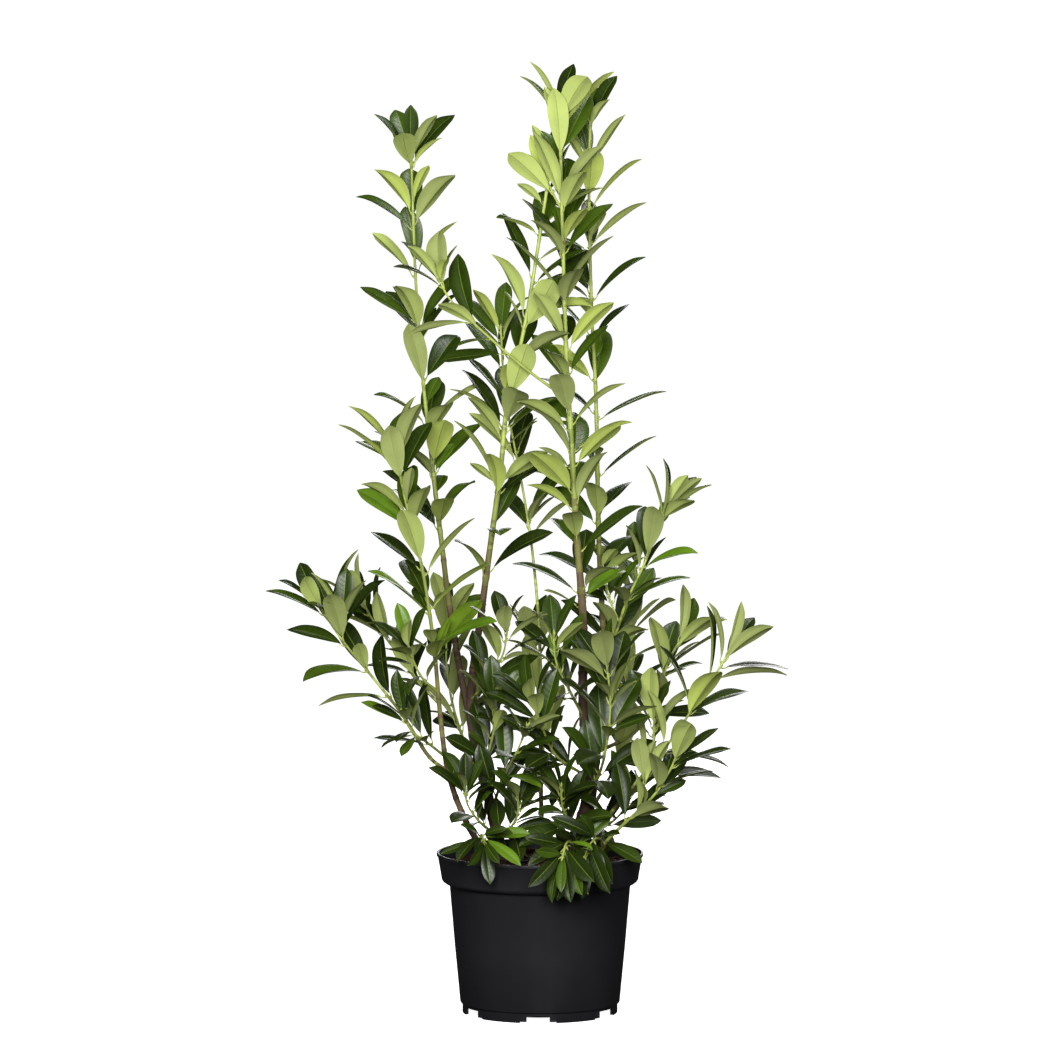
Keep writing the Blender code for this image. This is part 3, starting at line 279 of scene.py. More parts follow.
class Path:
    """A smooth line through a few points, measured along its length, with a frame that does not twist."""

    def __init__(self, points, step=0.006):
        p = np.array(points, float)
        ends = np.vstack([2 * p[0] - p[1], p, 2 * p[-1] - p[-2]])
        rows = []
        for a, b, c, d in zip(ends, ends[1:], ends[2:], ends[3:]):
            count = max(2, int(np.linalg.norm(c - b) / step))
            t = np.linspace(0, 1, count, endpoint=False)[:, None]
            rows.append(0.5 * (2 * b + (c - a) * t + (2 * a - 5 * b + 4 * c - d) * t**2
                               + (3 * b - a - 3 * c + d) * t**3))
        self.line = np.vstack(rows + [p[-1:]])
        legs = np.linalg.norm(np.diff(self.line, axis=0), axis=1)
        self.mark = np.concatenate([[0.0], np.cumsum(legs)])
        self.length = float(self.mark[-1])
        tangent = np.gradient(self.line, axis=0)
        self.tangent = tangent / np.linalg.norm(tangent, axis=1)[:, None]
        side = square_to(np.array([1.0, 0.13, 0.07]), self.tangent[0])
        sides = [side]
        for t in self.tangent[1:]:
            side = square_to(side, t)
            sides.append(side)
        self.side = np.array(sides)

    def pick(self, rows, s):
        return np.array([np.interp(s, self.mark, rows[:, k]) for k in range(3)])

    def at(self, s):
        return self.pick(self.line, s)

    def along(self, s):
        return unit(self.pick(self.tangent, s))

    def out(self, s, turn):
        """Unit vector square to the line at s, turned about it."""
        t = self.along(s)
        u = square_to(self.pick(self.side, s), t)
        return math.cos(turn) * u + math.sin(turn) * np.cross(t, u)

    def at_height(self, z):
        return float(np.interp(z, np.maximum.accumulate(self.line[:, 2]), self.mark))

    def distance(self, point):
        return float(np.linalg.norm(self.line - point, axis=1).min())


# ------------------------------------------------------------------ plain shapes
def circle(count, shift=0.0):
    """(cosine, sine) of evenly spaced angles all the way round."""
    return [(math.cos(a), math.sin(a)) for a in (2 * math.pi * (k + shift) / count for k in range(count))]


def leaf_solid(leaf, spare=0.0, skip=0.0):
    """(points, faces) of an eight-faced leaf: base, two edges, tip, ridge and keel."""
    base, d, up = leaf["base"], leaf["dir"], leaf["up"]
    side = np.cross(d, up)
    length, half = leaf["length"], LEAF_HALF * leaf["width"] + spare
    thick = LEAF_THICK * length / 2 + spare
    rise = leaf["camber"] * length
    start = base + d * (skip if skip else -LEAF_ROOT * leaf["radius"])
    spine = base + d * LEAF_SPINE * length + up * rise
    wide = base + d * LEAF_WIDEST * length + up * (rise * EDGE_RISE + leaf["fold"] * half)
    points = [start, wide + side * half, base + d * (length + spare), wide - side * half,
              spine + up * thick, spine - up * thick]
    faces = []
    for a, b in ((0, 1), (1, 2), (2, 3), (3, 0)):
        faces += [(a, b, 4), (b, a, 5)]
    return points, faces


def collection_of(name):
    found = bpy.data.collections.get(name)
    if not found:
        found = bpy.data.collections.new(name)
        bpy.context.scene.collection.children.link(found)
    return found


def helper(obj):
    """Keeps a cutter or a section out of the finished part."""
    collection_of("cutters").objects.link(obj)
    obj.hide_render, obj.display_type = True, "WIRE"
    return obj


def remove(obj):
    data = obj.data
    bpy.data.objects.remove(obj, do_unlink=True)
    (bpy.data.curves if isinstance(data, bpy.types.Curve) else bpy.data.meshes).remove(data)


def evaluated_mesh(obj):
    """The object's mesh after its modifiers, or swept from its curve."""
    bpy.context.view_layer.update()
    return bpy.data.meshes.new_from_object(obj.evaluated_get(bpy.context.evaluated_depsgraph_get()))


def shape_of(mesh):
    """(points, faces) of a mesh that is only wanted for its shape."""
    shape = [v.co[:] for v in mesh.vertices], [tuple(p.vertices) for p in mesh.polygons]
    bpy.data.meshes.remove(mesh)
    return shape


def turned(name, profile, steps):
    """A profile of (radius, height) turned about Z. It starts on the axis and runs down its outer side."""
    mesh = bpy.data.meshes.new(name)
    mesh.from_pydata([(r, 0, z) for r, z in profile], [(k, k + 1) for k in range(len(profile) - 1)], [])
    obj = bpy.data.objects.new(name, mesh)
    screw = obj.modifiers.new("turn", "SCREW")
    screw.steps = screw.render_steps = steps
    screw.use_merge_vertices, screw.merge_threshold = True, 1e-5
    screw.use_smooth_shade = True
    return obj


def section(sides):
    """The loop of radius one that a stem's curve sweeps along itself."""
    name = "section_of_%d" % sides
    if name in bpy.data.objects:
        return bpy.data.objects[name]
    curve = bpy.data.curves.new(name, "CURVE")
    spline = curve.splines.new("POLY")
    spline.points.add(sides - 1)
    for point, (x, y) in zip(spline.points, circle(sides)):
        point.co = (x, -y, 0, 1)
    spline.use_cyclic_u = True
    return helper(bpy.data.objects.new(name, curve))


def ring_marks(path, start, end, radius):
    """Where the rings of a tube go: close together on a bend, far apart on a straight run."""
    marks = [start]
    while marks[-1] < end:
        s = marks[-1]
        slack = min(RING_SLACK, 0.2 * radius(s))
        for gap in RING_GAPS:
            stop = end if s + 1.3 * gap >= end else s + gap
            a, b = path.at(s), path.at(stop)
            off = max(float(np.linalg.norm(path.at(s + (stop - s) * f) - a - (b - a) * f))
                      for f in (0.25, 0.5, 0.75))
            if off < slack:
                break
        marks.append(stop)
    return marks


def tube_mesh(path, start, end, radius, sides, flare=0.0):
    """A closed tapering tube along part of a path. One that flares stands on a level foot."""
    marks = ring_marks(path, start, end, radius)
    if flare:
        rings = [start + rise for rise in FLARE_RINGS]
        marks = [start] + rings + [s for s in marks[1:] if s > rings[-1] + RING_GAPS[-1] or s == end]
    rows = [path.at(s) for s in marks]
    if flare:
        rows[1] = rows[0] + np.array([0.0, 0.0, FLARE_RINGS[0]])
    curve = bpy.data.curves.new("tube", "CURVE")
    curve.dimensions, curve.use_fill_caps = "3D", True
    curve.bevel_mode, curve.bevel_object = "OBJECT", section(sides)
    spline = curve.splines.new("POLY")
    spline.points.add(len(rows) - 1)
    for point, row, s in zip(spline.points, rows, marks):
        point.co = (*row, 1)
        point.radius = radius(s) + flare * math.exp(-(s - start) / FLARE_FADE)
    obj = helper(bpy.data.objects.new("tube", curve))
    mesh = evaluated_mesh(obj)
    remove(obj)
    work = bmesh.new()
    work.from_mesh(mesh)
    bmesh.ops.remove_doubles(work, verts=work.verts, dist=1e-6)
    work.to_mesh(mesh)
    work.free()
    return mesh


# ------------------------------------------------------------------ what is already standing
class Standing:
    """Every tube and leaf placed so far, so that a new one can be kept clear of them."""

    def __init__(self):
        self.low, self.high, self.trees, self.owner = [], [], [], []

    def tree(self, shape):
        points, faces = shape
        return BVHTree.FromPolygons([tuple(p) for p in points], faces)

    def add(self, shape, owner):
        points = np.array(shape[0])
        self.low.append(points.min(axis=0))
        self.high.append(points.max(axis=0))
        self.trees.append(self.tree(shape))
        self.owner.append(owner)

    def clear(self, shape, leave_out=()):
        """True when the shape crosses nothing that stands, apart from what the named owners hold."""
        if not self.trees:
            return True
        points = np.array(shape[0])
        near = (np.array(self.low) < points.max(axis=0)).all(axis=1)
        near &= (np.array(self.high) > points.min(axis=0)).all(axis=1)
        tree = None
        for i in np.flatnonzero(near):
            if self.owner[i] in leave_out:
                continue
            tree = tree or self.tree(shape)
            if tree.overlap(self.trees[i]):
                return False
        return True


# ------------------------------------------------------------------ the stems
# name: (parent, height on it, points, radius at foot, radius at tip)
STEMS = {
    "middle": (None, 0, ((-0.050, 0.020, SOIL), (-0.069, 0.030, 0.285), (-0.094, 0.040, 0.404),
               (-0.077, 0.030, 0.558), (-0.054, 0.020, 0.728), (-0.045, 0.020, 0.816),
               (-0.018, 0.020, 0.944), (0.007, 0.030, 1.099), (0.012, 0.030, 1.140)), 0.0078, 0.0022),
    "left_tall": ("middle", 0.398, ((-0.104, 0.050, 0.435), (-0.122, 0.060, 0.541),
                  (-0.134, 0.065, 0.636), (-0.146, 0.070, 0.737), (-0.161, 0.070, 0.880),
                  (-0.169, 0.065, 1.009), (-0.174, 0.060, 1.160)), 0.0052, 0.0017),
    "front_left": (None, 0, ((-0.068, -0.010, SOIL), (-0.104, -0.020, 0.271),
                   (-0.125, -0.030, 0.336), (-0.135, -0.040, 0.416), (-0.142, -0.050, 0.498),
                   (-0.153, -0.055, 0.580), (-0.165, -0.060, 0.641), (-0.182, -0.060, 0.708),
                   (-0.192, -0.055, 0.768)), 0.0048, 0.0019),
    "right": (None, 0, ((0.035, 0.020, SOIL), (0.065, 0.010, 0.298), (0.058, 0.000, 0.425),
              (0.058, 0.000, 0.533), (0.050, 0.000, 0.642), (0.042, 0.000, 0.777),
              (0.035, 0.000, 0.898), (0.029, 0.000, 1.100), (0.026, -0.002, 1.216)), 0.0088, 0.0022),
    "back_right": (None, 0, ((0.057, 0.060, SOIL), (0.074, 0.070, 0.307), (0.086, 0.080, 0.470),
                   (0.080, 0.080, 0.634), (0.076, 0.075, 0.825), (0.070, 0.070, 0.948),
                   (0.066, 0.060, 1.111), (0.068, 0.060, 1.210)), 0.0062, 0.0019),
    "thin": (None, 0, ((0.004, 0.045, SOIL), (0.001, 0.040, 0.311), (0.000, 0.035, 0.489),
             (-0.009, 0.050, 0.610), (-0.023, 0.060, 0.704), (-0.046, 0.065, 0.826),
             (-0.053, 0.060, 0.920)), 0.0034, 0.0014),
    "left_low": ("front_left", 0.331, ((-0.151, -0.035, 0.354), (-0.184, -0.050, 0.409),
                 (-0.222, -0.060, 0.459), (-0.264, -0.070, 0.512), (-0.296, -0.070, 0.560)),
                 0.0030, 0.0014),
    "left_mid": ("front_left", 0.425, ((-0.164, -0.030, 0.453), (-0.198, -0.010, 0.497),
                 (-0.227, 0.000, 0.536), (-0.239, 0.005, 0.556)), 0.0026, 0.0013),
    "left_small": ("front_left", 0.440, ((-0.158, -0.065, 0.462), (-0.170, -0.082, 0.488),
                   (-0.177, -0.092, 0.510)), 0.0022, 0.0012),
    "right_low": (None, 0, ((0.065, -0.012, SOIL), (0.080, -0.018, 0.250), (0.110, -0.030, 0.293),
                  (0.155, -0.050, 0.349), (0.190, -0.060, 0.398), (0.221, -0.060, 0.445),
                  (0.252, -0.055, 0.492)), 0.0036, 0.0014),
    "right_lowest": (None, 0, ((0.074, -0.038, SOIL), (0.090, -0.052, 0.240),
                     (0.124, -0.070, 0.276), (0.155, -0.085, 0.309), (0.174, -0.092, 0.341),
                     (0.183, -0.094, 0.362)), 0.0030, 0.0014),
    "right_mid": ("back_right", 0.345, ((0.129, 0.058, 0.374), (0.158, 0.065, 0.417),
                  (0.174, 0.070, 0.469), (0.195, 0.075, 0.504)), 0.0028, 0.0014),
    "right_rise": ("back_right", 0.410, ((0.092, 0.052, 0.466), (0.114, 0.030, 0.547),
                   (0.142, 0.020, 0.610), (0.159, 0.020, 0.654), (0.171, 0.020, 0.686)),
                   0.0030, 0.0014),
    "front_right": ("right", 0.290, ((0.082, -0.035, 0.335), (0.091, -0.068, 0.385),
                    (0.094, -0.085, 0.435), (0.089, -0.092, 0.482)), 0.0026, 0.0013),
    "centre_a": ("right", 0.318, ((0.021, -0.050, 0.356), (0.000, -0.085, 0.405),
                 (-0.014, -0.100, 0.440)), 0.0024, 0.0013),
    "centre_b": ("middle", 0.270, ((-0.050, -0.030, 0.322), (-0.030, -0.070, 0.366),
                 (-0.018, -0.088, 0.398)), 0.0022, 0.0012),
    "low_left": ("middle", 0.236, ((-0.082, -0.018, 0.262), (-0.098, -0.050, 0.290),
                 (-0.100, -0.070, 0.316)), 0.0022, 0.0012),
    "low_right": ("right", 0.240, ((0.040, -0.030, 0.262), (0.030, -0.065, 0.288),
                  (0.028, -0.085, 0.316)), 0.0022, 0.0012),
    "left_base": ("front_left", 0.352, ((-0.150, -0.052, 0.372), (-0.172, -0.078, 0.392),
                  (-0.184, -0.094, 0.416)), 0.0022, 0.0012),
    "middle_base": ("middle", 0.318, ((-0.070, -0.004, 0.352), (-0.062, -0.036, 0.392),
                    (-0.062, -0.050, 0.430)), 0.0024, 0.0012),
    "middle_side": ("middle", 0.420, ((-0.070, -0.002, 0.452), (-0.050, -0.030, 0.490),
                    (-0.044, -0.040, 0.525)), 0.0022, 0.0012),
    "right_base": ("back_right", 0.232, ((0.092, 0.036, 0.250), (0.112, 0.012, 0.272),
                   (0.124, 0.002, 0.298)), 0.0022, 0.0012),
    "low_mid": ("middle", 0.228, ((-0.040, -0.014, 0.252), (-0.030, -0.042, 0.276),
                (-0.030, -0.060, 0.302)), 0.0022, 0.0012),
    "right_side": ("right", 0.400, ((0.040, -0.024, 0.440), (0.022, -0.046, 0.480),
                   (0.018, -0.056, 0.515)), 0.0022, 0.0012),
    "pot_left": ("front_left", 0.224, ((-0.080, -0.050, 0.244), (-0.078, -0.095, 0.254),
                 (-0.074, -0.126, 0.248)), 0.0020, 0.0012),
    "pot_front": (None, 0, ((0.046, -0.020, SOIL), (0.045, -0.055, 0.228), (0.040, -0.098, 0.246),
                  (0.034, -0.134, 0.246), (0.030, -0.156, 0.234)), 0.0021, 0.0013),
    "pot_right": ("right_lowest", 0.230, ((0.082, -0.074, 0.244), (0.074, -0.104, 0.250),
                  (0.066, -0.130, 0.245), (0.060, -0.148, 0.233)), 0.0020, 0.0012),
    "back_left": ("middle", 0.300, ((-0.098, 0.085, 0.345), (-0.118, 0.122, 0.400),
                  (-0.128, 0.145, 0.460), (-0.126, 0.160, 0.520)), 0.0028, 0.0013),
    "back_mid": ("thin", 0.290, ((0.005, 0.090, 0.335), (0.002, 0.130, 0.385),
                 (-0.006, 0.158, 0.440), (-0.010, 0.170, 0.490)), 0.0022, 0.0012),
    "back_low": ("back_right", 0.262, ((0.092, 0.108, 0.300), (0.112, 0.145, 0.338),
                 (0.122, 0.172, 0.385), (0.120, 0.190, 0.430)), 0.0026, 0.0013),
    "back_far": ("back_right", 0.395, ((0.108, 0.115, 0.435), (0.124, 0.148, 0.490),
                 (0.132, 0.165, 0.550), (0.130, 0.170, 0.600)), 0.0026, 0.0013),
}

LIMB_NAMES = {
    "middle": "trunk_middle", "right": "trunk_right", "back_right": "trunk_back_right",
    "front_left": "trunk_front_left", "thin": "trunk_thin", "left_tall": "bough_left_tall",
}

# mass: (stem, from, to, leaf length, leaves in a whorl, gap between whorls,
#        lean of the leaves at its foot and at its tip in degrees, side twigs, their length, seed)
FOLIAGE = {
    "right_top": ("right", 0.79, 1.00, 0.095, 4, 0.034, 54, 28, 1, 0.045, 144),
    "left_tall_upper": ("left_tall", 0.64, 1.00, 0.094, 4, 0.044, 52, 36, 0, 0.04, 51),
    "back_right_top": ("back_right", 0.79, 1.00, 0.092, 4, 0.036, 58, 34, 0, 0.045, 20),
    "middle_upper": ("middle", 0.64, 1.00, 0.094, 3, 0.036, 54, 32, 0, 0.05, 112),
    "right_middle": ("right", 0.56, 0.79, 0.099, 4, 0.034, 60, 50, 0, 0.05, 21),
    "back_right_middle": ("back_right", 0.56, 0.79, 0.096, 3, 0.036, 62, 54, 0, 0.05, 42),
    "left_tall_lower": ("left_tall", 0.30, 0.64, 0.097, 3, 0.042, 58, 48, 0, 0.05, 144),
    "front_left": ("front_left", 0.455, 1.00, 0.101, 4, 0.036, 64, 36, 0, 0.04, 23),
    "middle_lower": ("middle", 0.38, 0.64, 0.096, 3, 0.040, 58, 50, 0, 0.06, 37),
    "right_lower": ("right", 0.33, 0.56, 0.098, 3, 0.042, 62, 54, 0, 0.06, 84),
    "back_right_lower": ("back_right", 0.33, 0.56, 0.093, 3, 0.046, 62, 54, 0, 0.06, 44),
    "thin": ("thin", 0.55, 1.00, 0.090, 3, 0.050, 52, 30, 0, 0.05, 13),
    "left_low": ("left_low", 0.36, 1.00, 0.094, 3, 0.030, 60, 32, 1, 0.045, 13),
    "left_mid": ("left_mid", 0.0, 1.00, 0.084, 3, 0.028, 60, 30, 0, 0.045, 141),
    "left_small": ("left_small", 0.0, 1.00, 0.076, 3, 0.024, 55, 30, 0, 0.04, 116),
    "right_low": ("right_low", 0.36, 1.00, 0.097, 3, 0.030, 60, 34, 1, 0.05, 61),
    "right_lowest": ("right_lowest", 0.30, 1.00, 0.078, 3, 0.024, 55, 30, 1, 0.045, 94),
    "right_mid": ("right_mid", 0.30, 1.00, 0.088, 3, 0.032, 60, 30, 0, 0.045, 76),
    "right_rise": ("right_rise", 0.22, 1.00, 0.086, 3, 0.040, 54, 32, 1, 0.05, 26),
    "front_right": ("front_right", 0.0, 1.00, 0.090, 3, 0.030, 58, 32, 0, 0.05, 147),
    "centre_a": ("centre_a", 0.0, 1.00, 0.074, 3, 0.024, 55, 30, 0, 0.04, 31),
    "centre_b": ("centre_b", 0.0, 1.00, 0.072, 3, 0.022, 55, 30, 0, 0.04, 41),
    "low_left": ("low_left", 0.0, 1.00, 0.068, 3, 0.018, 60, 34, 0, 0.03, 158),
    "low_right": ("low_right", 0.0, 1.00, 0.074, 3, 0.020, 60, 34, 0, 0.03, 97),
    "left_base": ("left_base", 0.0, 1.00, 0.078, 3, 0.020, 60, 34, 0, 0.03, 121),
    "middle_base": ("middle_base", 0.0, 1.00, 0.074, 3, 0.024, 60, 32, 0, 0.03, 3),
    "middle_side": ("middle_side", 0.0, 1.00, 0.076, 3, 0.024, 60, 32, 0, 0.03, 40),
    "right_base": ("right_base", 0.0, 1.00, 0.074, 3, 0.020, 60, 34, 0, 0.03, 80),
    "low_mid": ("low_mid", 0.0, 1.00, 0.068, 3, 0.020, 60, 34, 0, 0.03, 226),
    "right_side": ("right_side", 0.0, 1.00, 0.078, 3, 0.024, 60, 34, 0, 0.03, 103),
    "pot_left": ("pot_left", 0.0, 1.00, 0.066, 3, 0.016, 62, 36, 0, 0.03, 211),
    "pot_front": ("pot_front", 0.22, 1.00, 0.080, 4, 0.012, 68, 34, 0, 0.03, 108),
    "pot_right": ("pot_right", 0.0, 1.00, 0.074, 4, 0.012, 66, 34, 0, 0.03, 0),
    "back_left": ("back_left", 0.30, 1.00, 0.086, 3, 0.030, 58, 32, 1, 0.05, 47),
    "back_mid": ("back_mid", 0.30, 1.00, 0.082, 3, 0.030, 58, 32, 0, 0.05, 44),
    "back_low": ("back_low", 0.30, 1.00, 0.082, 3, 0.030, 58, 32, 0, 0.05, 108),
    "back_far": ("back_far", 0.30, 1.00, 0.086, 3, 0.030, 58, 32, 0, 0.05, 7),
}
# The share of each stem that is bare wood, below its lowest mass. The rest is the shoot inside its masses.
BARE = {stem: foot for stem in STEMS if (foot := min(row[1] for row in FOLIAGE.values() if row[0] == stem))}

# The long thin shoot that leaves the right-hand leader half way up: a twig of the mass it rises from.
LONG_TWIGS = {
    "right_middle": (0.622, ((-0.016, -0.020, 0.872), (-0.067, -0.040, 0.917),
                     (-0.118, -0.055, 0.967), (-0.138, -0.060, 1.003))),
}
# How strongly the leaves of these stems, which hang over the pot's rim, are drawn down.
DROOPING = {"pot_front": 2.0, "pot_right": 2.0, "pot_left": 1.5}


# ------------------------------------------------------------------ growth
def girth(name, path):
    """Radius along a stem: quick taper low down, slow above."""
    foot, tip = STEMS[name][3:]
    return lambda s: tip + (foot - tip) * (1 - min(max(s / path.length, 0), 1)) ** GIRTH_FALL


def all_paths():
    paths = {}
    for name, (parent, height, points, _, _) in STEMS.items():
        if parent:
            line = paths[parent]
            points = (tuple(line.at(line.at_height(height))),) + tuple(points)
        paths[name] = Path(points)
    return paths


def limb_mesh(name, path):
    """A trunk from its level foot, or a bough from its parent's axis, up to where its leaves begin."""
    parent, _, _, foot, _ = STEMS[name]
    end = BARE[name] * path.length
    if parent:
        return tube_mesh(path, 0.0, end, girth(name, path), BOUGH_SIDES)
    return tube_mesh(path, CLEAR, end, girth(name, path), TRUNK_SIDES, FLARE_SHARE * foot)


def leaf_on(path, s, turn, lean, radius, size, rng):
    """One leaf as a frame: where it leaves the stem, which way it points and which way its face looks."""
    t, out = path.along(s), path.out(s, turn)
    lean = math.radians(lean)
    d = unit(math.cos(lean) * t + math.sin(lean) * out)
    level = 1 - abs(float(t[2]))
    face = square_to(t + np.array([0.0, 0.0, SKY_PULL * level + SKY_LEAST]), d)
    roll = math.radians(rng.normal(0, LEAF_ROLL))
    face = math.cos(roll) * face + math.sin(roll) * np.cross(d, face)
    length = size * rng.uniform(*LEAF_SPREAD)
    return {"base": path.at(s), "dir": d, "up": face, "length": length,
            "width": length * rng.uniform(*LEAF_SLIM), "camber": rng.uniform(*LEAF_BEND),
            "fold": rng.uniform(*LEAF_FOLD), "radius": radius}


def droop(leaf, by):
    """Bends a leaf down, and makes it a little narrower."""
    d = unit(leaf["dir"] + np.array([0.0, 0.0, -by]))
    leaf["dir"], leaf["up"] = d, square_to(leaf["up"], d)
    leaf["width"] *= HANG_SLIM


def twig_mesh(line, thin):
    return tube_mesh(line, 0.0, line.length, lambda s: TWIG_SWELL * thin(s), TWIG_SIDES)


class Mass:
    """A shoot with its side twigs and leaves, grown so that it keeps clear of all that stands."""

    def __init__(self, name, paths, standing):
        (self.stem, start, end, self.size, self.whorl, self.gap, self.low, self.tip,
         self.twigs, self.twig_length, self.seed) = FOLIAGE[name]
        self.name, self.standing, self.steps = name, standing, 0
        self.path = paths[self.stem]
        self.start, self.end = start * self.path.length, end * self.path.length
        self.last = end == 1.0
        self.radius = girth(self.stem, self.path)
        self.tubes, self.leaves = [], []
        self.reach = self.size * REACH + (self.twig_length if self.twigs else 0)
        self.lines = [self.path]
        self.first = self.start + (0.0 if self.start else BARE_FOOT)

    def shoot_mesh(self):
        """The shoot in the middle of the mass, which starts just clear of the limb below it."""
        start = self.start + (CLEAR if self.start else 0)
        if self.radius(self.start) > THICK_SHOOT:
            return tube_mesh(self.path, start, self.end, self.radius, SHOOT_SIDES)
        return tube_mesh(self.path, start, self.end, lambda s: TWIG_SWELL * self.radius(s), TWIG_SIDES)

    def stand(self):
        """Sets up the shoot itself, and its long twig, before anything is grown on any of them."""
        self.standing.add(shape_of(self.shoot_mesh()), self.name + "/stem")
        if self.name in LONG_TWIGS:
            share, points = LONG_TWIGS[self.name]
            self.long_twig = self.twig(self.path, share * self.path.length, LONG_TWIG_FOOT, points)

    def own(self, owner):
        return owner.startswith(self.name + "/")

    def place(self, path, s, turn, lean, radius, size, rng, by=0.0):
        """Tries a leaf with a slightly different turn and lean each time, and keeps the first that fits."""
        for go in range(LEAF_TRIES):
            leaf = leaf_on(path, s, turn + rng.normal(0, TURN_STRAY + TURN_MORE * go),
                           lean + rng.normal(0, LEAN_STRAY + LEAN_MORE * go), radius,
                           size * (1 - TRY_SHRINK * go), rng)
            if by:
                droop(leaf, by * rng.uniform(*DROOP_SPREAD) * s / path.length)
            if self.fits(leaf, path):
                leaf["line"], leaf["mark"] = path, s
                self.leaves.append(leaf)
                self.standing.add(leaf_solid(leaf), self.name + "/leaf")
                return

    def fits(self, leaf, path):
        tip = leaf["base"] + leaf["dir"] * leaf["length"]
        if min(line.distance(tip) for line in self.lines) > self.reach:
            return False
        past = math.hypot(tip[0], tip[1]) - RIM_RADIUS
        hangs = past > (DROOP_PAST_RIM if self.stem in DROOPING else HANG_PAST_RIM)
        if tip[2] < (HANG_FLOOR if hangs else OVER_POT):
            return False
        sine = max(float(np.linalg.norm(np.cross(leaf["dir"], path.along(path.length / 2)))), LEAST_SINE)
        skip = min((FOOT_GIRTHS * leaf["radius"] + FOOT_SPARE) / sine, FOOT_MOST * leaf["length"])
        others = {o for o in set(self.standing.owner) if self.own(o)}
        if not self.standing.clear(leaf_solid(leaf, spare=LEAF_CLEAR, skip=skip)):
            return False
        return self.standing.clear(leaf_solid(leaf, spare=LEAF_CLEAR), others)

    def step(self, grow):
        """Runs one step of growth with its own random numbers."""
        self.steps += 1
        return grow(np.random.default_rng((self.steps, self.seed)))

    def clothe(self, path, start, end, radius, size, low, tip, whorl, gap, crowned, rng=None):
        """Whorls of leaves along a shoot, and a crown of them at its tip."""
        by = DROOPING.get(self.stem, 0.0)
        last = end - (CROWN_LENGTH if crowned else PLAIN_END)

        def whorl_from(s, rng):
            s += gap * rng.uniform(*GAP_SPREAD)
            turn = rng.uniform(0, 2 * math.pi)
            for _ in range(max(1, whorl + int(rng.integers(-1, 2)))):
                if s < last:
                    lean = low + (tip - low) * (s - start) / max(end - start, 1e-6)
                    self.place(path, s, turn, lean + rng.normal(0, LEAN_WANDER), radius(s), size, rng, by)
                turn += GOLDEN
                s += rng.uniform(*WHORL_STEP)
            return s

        def crown(rng):
            turn = rng.uniform(0, 2 * math.pi)
            for k in range(CROWN_LEAVES if whorl > 2 else SMALL_CROWN):
                self.place(path, end - CROWN_LENGTH + CROWN_STEP * k, turn,
                           tip * (CROWN_LEAN - CROWN_LEAN_STEP * k), radius(end),
                           size * (1 - CROWN_SHRINK * k), rng, by * CROWN_DROOP)
                turn += GOLDEN

        run = self.step if rng is None else lambda grow: grow(rng)
        s = start - 0.4 * gap
        while s < last:
            s = run(lambda rng: whorl_from(s, rng))
        if crowned:
            run(crown)

    def twig(self, path, s, radius, points):
        """The bare line of a side twig from a shoot through some points, kept when it is clear."""
        line = Path((tuple(path.at(s)),) + tuple(tuple(p) for p in points), 0.005)
        probe = tube_mesh(line, TWIG_FOOT, line.length, lambda s: TWIG_ROOM, TWIG_SIDES)
        if not self.standing.clear(shape_of(probe)) or line.at(line.length)[2] < TWIG_FLOOR:
            return None

        def thin(s):
            return TWIG_TIP + (radius - TWIG_TIP) * (1 - min(s / line.length, 1))

        self.tubes.append((line, thin))
        self.standing.add(shape_of(twig_mesh(line, thin)), self.name + "/twig")
        self.lines.append(line)
        return line, thin

    def rising(self, s, turn, lean, length):
        """Points of a side twig that leaves the shoot at a lean and turns up towards its tip."""
        root = self.path.at(s)
        d = unit(math.cos(lean) * self.path.along(s) + math.sin(lean) * self.path.out(s, turn))
        rise = np.array([0, 0, 1.0]) * length
        return [root + share * length * d + lift * rise for share, lift in TWIG_RISE]

    def sprig(self, k, rng):
        """One side twig and its leaves."""
        for _ in range(TWIG_TRIES):
            share = (k + rng.uniform(*TWIG_SPOT)) / self.twigs
            s = self.first + (self.end - self.first) * share * TWIG_SHARE
            points = self.rising(s, rng.uniform(0, 2 * math.pi), math.radians(rng.uniform(*TWIG_LEAN)),
                                 self.twig_length * rng.uniform(*TWIG_SPREAD))
            made = self.twig(self.path, s, min(TWIG_THICKEST, 0.8 * self.radius(s)), points)
            if made:
                self.clothe_twig(*made, SPRIG, rng)
                return

    def clothe_twig(self, line, thin, rule, rng=None):
        first, share, low, tip, whorl, gap = rule
        self.clothe(line, first * line.length, line.length, thin, self.size * share, low, tip, whorl, gap,
                    True, rng)

    def grow(self):
        if self.name in LONG_TWIGS:
            self.clothe_twig(*self.long_twig, LONG_SPRIG)
        for k in range(self.twigs):
            self.step(lambda rng: self.sprig(k, rng))
        self.clothe(self.path, self.first, self.end, self.radius, self.size, self.low, self.tip,
                    self.whorl, self.gap, self.last)
        return self

    def thicken(self, count):
        """Small late leaves in the free places along the shoots."""
        rng = np.random.default_rng((99, self.seed))
        for _ in range(count):
            line = self.lines[int(rng.integers(len(self.lines)))]
            start = self.first if line is self.path else 0.4 * line.length
            end = self.end if line is self.path else line.length
            s = rng.uniform(start + 0.004, end - 0.004)
            self.place(line, s, rng.uniform(0, 2 * math.pi), rng.uniform(self.tip, self.low),
                       self.radius(s) if line is self.path else TWIG_TIP, self.size * SMALL_LEAF, rng)


def grow_plant():
    """Paths of the stems and the grown masses, by the same rule as the solids."""
    paths = all_paths()
    standing = Standing()
    for name in BARE:
        standing.add(shape_of(limb_mesh(name, paths[name])), "limb/" + name)
    standing.add(pot_guard(), "pot")
    masses = [Mass(name, paths, standing) for name in FOLIAGE]
    for mass in masses:
        mass.stand()
    return paths, [mass.grow() for mass in masses]


